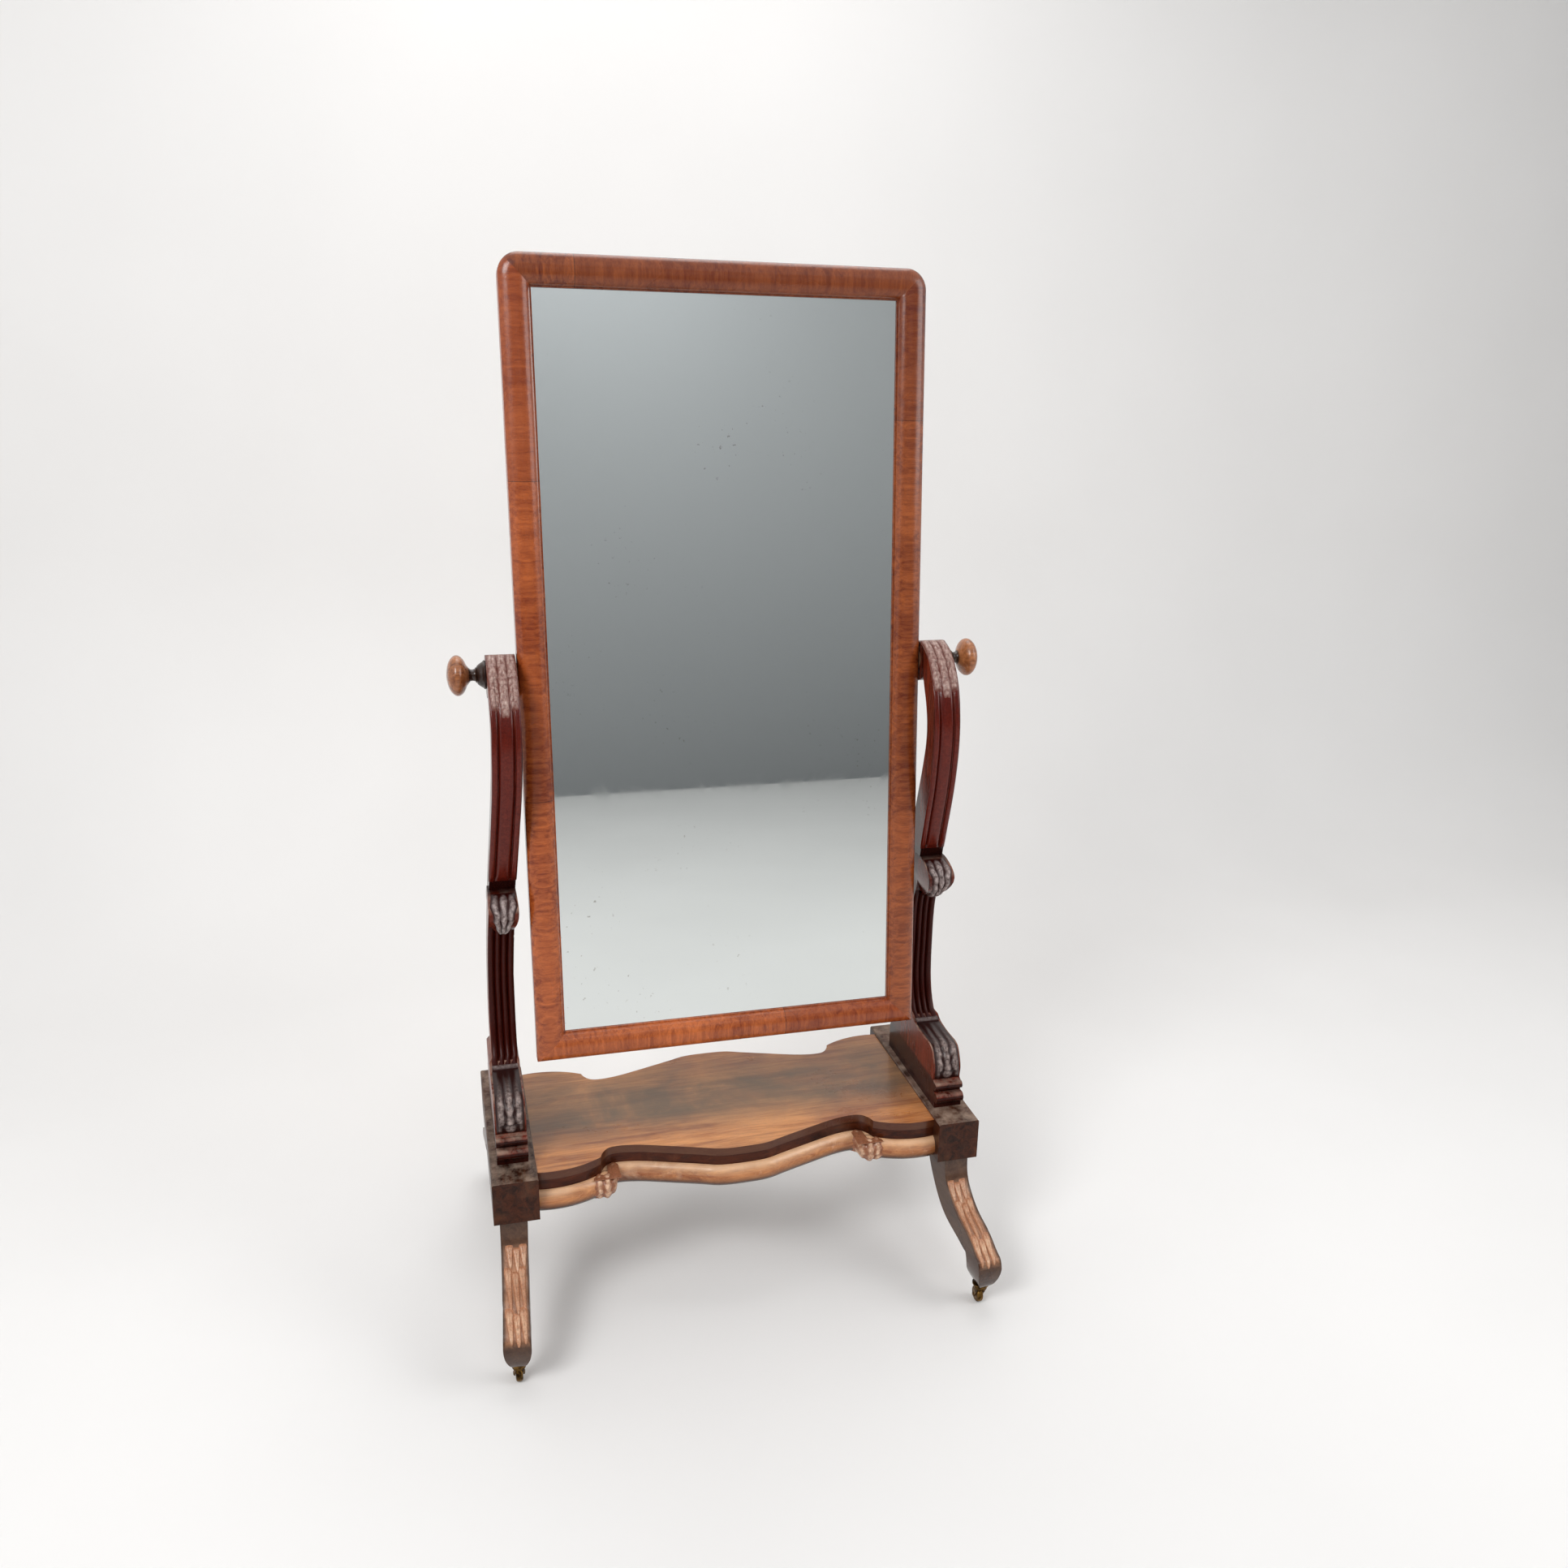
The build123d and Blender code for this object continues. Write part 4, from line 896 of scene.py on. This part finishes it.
class MIRROR_OT_knobs(bpy.types.Operator):
    """Turn the two clamping knobs and their flared collars"""
    bl_idname = "mirror.knobs"
    bl_label = "Knobs"

    def execute(self, context):
        big = sizes().knob_radius
        head = [(KNOB_MIDDLE - KNOB_HALF_LENGTH * math.cos(a), big * math.sin(a)) for a in
                [math.radians(d) for d in (32, 42, 54, 66, 76, 84, 90, 96, 104, 114, 126, 138, 150, 162, 171, 180)]]
        neck = [(0.3863, 0.0001), (0.3863, 0.0112), (0.3872, 0.0122), (0.3882, 0.0112), (0.3890, 0.0096),
                (0.3925, 0.0086), (0.3960, 0.0092), (0.3985, 0.0120)]
        collar = [(0.3733, 0.0001), (0.3733, 0.0212), (0.3741, 0.0220), (0.3757, 0.0220), (0.3765, 0.0212),
                  (0.3772, 0.0200), (0.3795, 0.0186), (0.3825, 0.0166), (0.3845, 0.0150), (0.3853, 0.0142),
                  (0.3861, 0.0132), (0.3861, 0.0001)]
        for side, sign in SIDES:
            for name, node, profile in (("_turned_knob", "_knob", neck + head),
                                        ("_turned_collar", "_knob_collar", collar)):
                profile = [(sign * x, radius) for x, radius in profile]
                piece = turned(side + name, profile)
                set_down(piece, BODY_OF[side + node], finish_material(side + node))
                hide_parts(side + node)
        return {"FINISHED"}


class MIRROR_OT_camera(bpy.types.Operator):
    """Stand the camera where the photograph was taken"""
    bl_idname = "mirror.camera"
    bl_label = "Camera"

    def execute(self, context):
        forward = Vector((math.sin(CAMERA_YAW) * math.cos(CAMERA_PITCH), math.cos(CAMERA_YAW) * math.cos(CAMERA_PITCH),
                          math.sin(CAMERA_PITCH)))
        level = Vector((math.cos(CAMERA_YAW), -math.sin(CAMERA_YAW), 0))
        upward = level.cross(forward)
        right = math.cos(CAMERA_ROLL) * level + math.sin(CAMERA_ROLL) * upward
        up = -math.sin(CAMERA_ROLL) * level + math.cos(CAMERA_ROLL) * upward
        data = bpy.data.cameras.new("camera")
        data.sensor_width = SENSOR_WIDTH
        data.lens = LENS
        data.shift_x, data.shift_y = LENS_SHIFT
        camera = bpy.data.objects.new("camera", data)
        context.scene.collection.objects.link(camera)
        turn = Matrix((right, up, -forward)).transposed().to_4x4()
        camera.matrix_world = Matrix.Translation(CAMERA_PLACE) @ turn
        context.scene.camera = camera
        return {"FINISHED"}


def lay_floor():
    """A pale floor that curves up into a backdrop behind the mirror."""
    paper, tree, shader, place = start_material("studio_paper")
    tone = spread(tree, noise(tree, place, 1.2, 2), 0.3, 0.7, 0.0, 1.0)
    tree.links.new(mix_colour(tree, tone, (0.80, 0.79, 0.78, 1), (0.83, 0.82, 0.81, 1)), shader.inputs["Base Color"])
    shader.inputs["Roughness"].default_value = 0.9
    clear_selection()
    bpy.ops.mesh.primitive_plane_add(size=1)
    floor = bpy.context.object
    floor.name = "studio_floor"
    floor.scale = (14, 8.6, 1)
    floor.location = (0, -2.1, 0)
    bpy.ops.object.transform_apply(location=True, rotation=True, scale=True)
    bpy.ops.object.mode_set(mode="EDIT")
    bpy.ops.mesh.select_mode(type="EDGE")
    bpy.ops.mesh.select_all(action="DESELECT")
    bpy.ops.object.mode_set(mode="OBJECT")
    for edge in floor.data.edges:
        edge.select = all(floor.data.vertices[v].co.y > 2 for v in edge.vertices)
    bpy.ops.object.mode_set(mode="EDIT")
    bpy.ops.mesh.extrude_region_move(TRANSFORM_OT_translate={"value": (0, 0, 5)})
    bpy.ops.object.mode_set(mode="OBJECT")
    cove = floor.modifiers.new("cove", "BEVEL")
    cove.width = 1.0
    cove.segments = 16
    apply_all(floor)
    bpy.ops.object.shade_smooth()
    floor.data.materials.append(paper)


def raise_far_wall():
    """The wall behind the camera, which the glass reflects."""
    paint, tree, shader, place = start_material("far_wall_paint")
    height = spread(tree, axes_of(tree, place)["Z"], 0.0, 3.2)
    tree.links.new(mix_colour(tree, height, (0.30, 0.31, 0.32, 1), (0.62, 0.64, 0.66, 1)),
                   shader.inputs["Base Color"])
    shader.inputs["Roughness"].default_value = 0.95
    clear_selection()
    bpy.ops.mesh.primitive_plane_add(size=1, rotation=(math.pi / 2, 0, 0))
    wall = bpy.context.object
    wall.name = "far_wall"
    wall.scale = (14, 5, 1)
    wall.location = (0, -6.3, 2.5)
    bpy.ops.object.transform_apply(location=True, rotation=True, scale=True)
    wall.data.materials.append(paint)


def hang_lamps(scene):
    for name, spot, target, size, watts in LAMPS:
        data = bpy.data.lights.new(name, "AREA")
        data.size = size
        data.energy = watts
        lamp = bpy.data.objects.new(name, data)
        scene.collection.objects.link(lamp)
        lamp.location = spot
        lamp.rotation_euler = (Vector(target) - Vector(spot)).to_track_quat("-Z", "Y").to_euler()


def light_world(scene):
    """A white surround that the camera, the gloss and the glass see whole, and the shade less."""
    world = bpy.data.worlds.new("studio")
    world.use_nodes = True
    scene.world = world
    tree = world.node_tree
    sky = next(n for n in tree.nodes if n.type == "BACKGROUND")
    path = add_node(tree, "LightPath")
    seen = math_node(tree, "MAXIMUM", path.outputs["Is Camera Ray"], path.outputs["Is Glossy Ray"])
    seen = math_node(tree, "MAXIMUM", seen, path.outputs["Is Transmission Ray"])
    tree.links.new(math_node(tree, "MULTIPLY_ADD", seen, 1 - SHADE_LIGHT, SHADE_LIGHT), sky.inputs["Strength"])
    sky.inputs["Color"].default_value = (1, 1, 1, 1)


class MIRROR_OT_stage(bpy.types.Operator):
    """Lay the pale floor, the backdrop and the far wall, and set the lamps"""
    bl_idname = "mirror.stage"
    bl_label = "Stage"

    def execute(self, context):
        lay_floor()
        raise_far_wall()
        hang_lamps(context.scene)
        light_world(context.scene)
        context.scene.view_settings.view_transform = "Standard"
        return {"FINISHED"}


class MIRROR_PT_panel(bpy.types.Panel):
    """Sizes, colours and steps of the cheval mirror"""
    bl_label = "Cheval Mirror"
    bl_idname = "MIRROR_PT_panel"
    bl_space_type = "VIEW_3D"
    bl_region_type = "UI"
    bl_category = "Cheval Mirror"

    def draw(self, context):
        for group in (context.scene.mirror_sizes, context.scene.mirror_finishes):
            for name in group.__annotations__:
                self.layout.prop(group, name)
        for step in STEPS:
            self.layout.operator(step.bl_idname)


STEPS = (MIRROR_OT_finishes, MIRROR_OT_frame_moulding, MIRROR_OT_stand, MIRROR_OT_upright_leaves, MIRROR_OT_beads,
         MIRROR_OT_leg_leaves, MIRROR_OT_knuckles, MIRROR_OT_knobs, MIRROR_OT_camera, MIRROR_OT_stage)
CLASSES = (MirrorSizes, MirrorFinishes, *STEPS, MIRROR_PT_panel)


def register():
    for cls in CLASSES:
        bpy.utils.register_class(cls)
    bpy.types.Scene.mirror_sizes = bpy.props.PointerProperty(type=MirrorSizes)
    bpy.types.Scene.mirror_finishes = bpy.props.PointerProperty(type=MirrorFinishes)


def unregister():
    del bpy.types.Scene.mirror_sizes
    del bpy.types.Scene.mirror_finishes
    for cls in reversed(CLASSES):
        bpy.utils.unregister_class(cls)


def main():
    register()
    for step in STEPS:
        group, name = step.bl_idname.split(".")
        getattr(getattr(bpy.ops, group), name)()


if __name__ == "__main__":
    main()
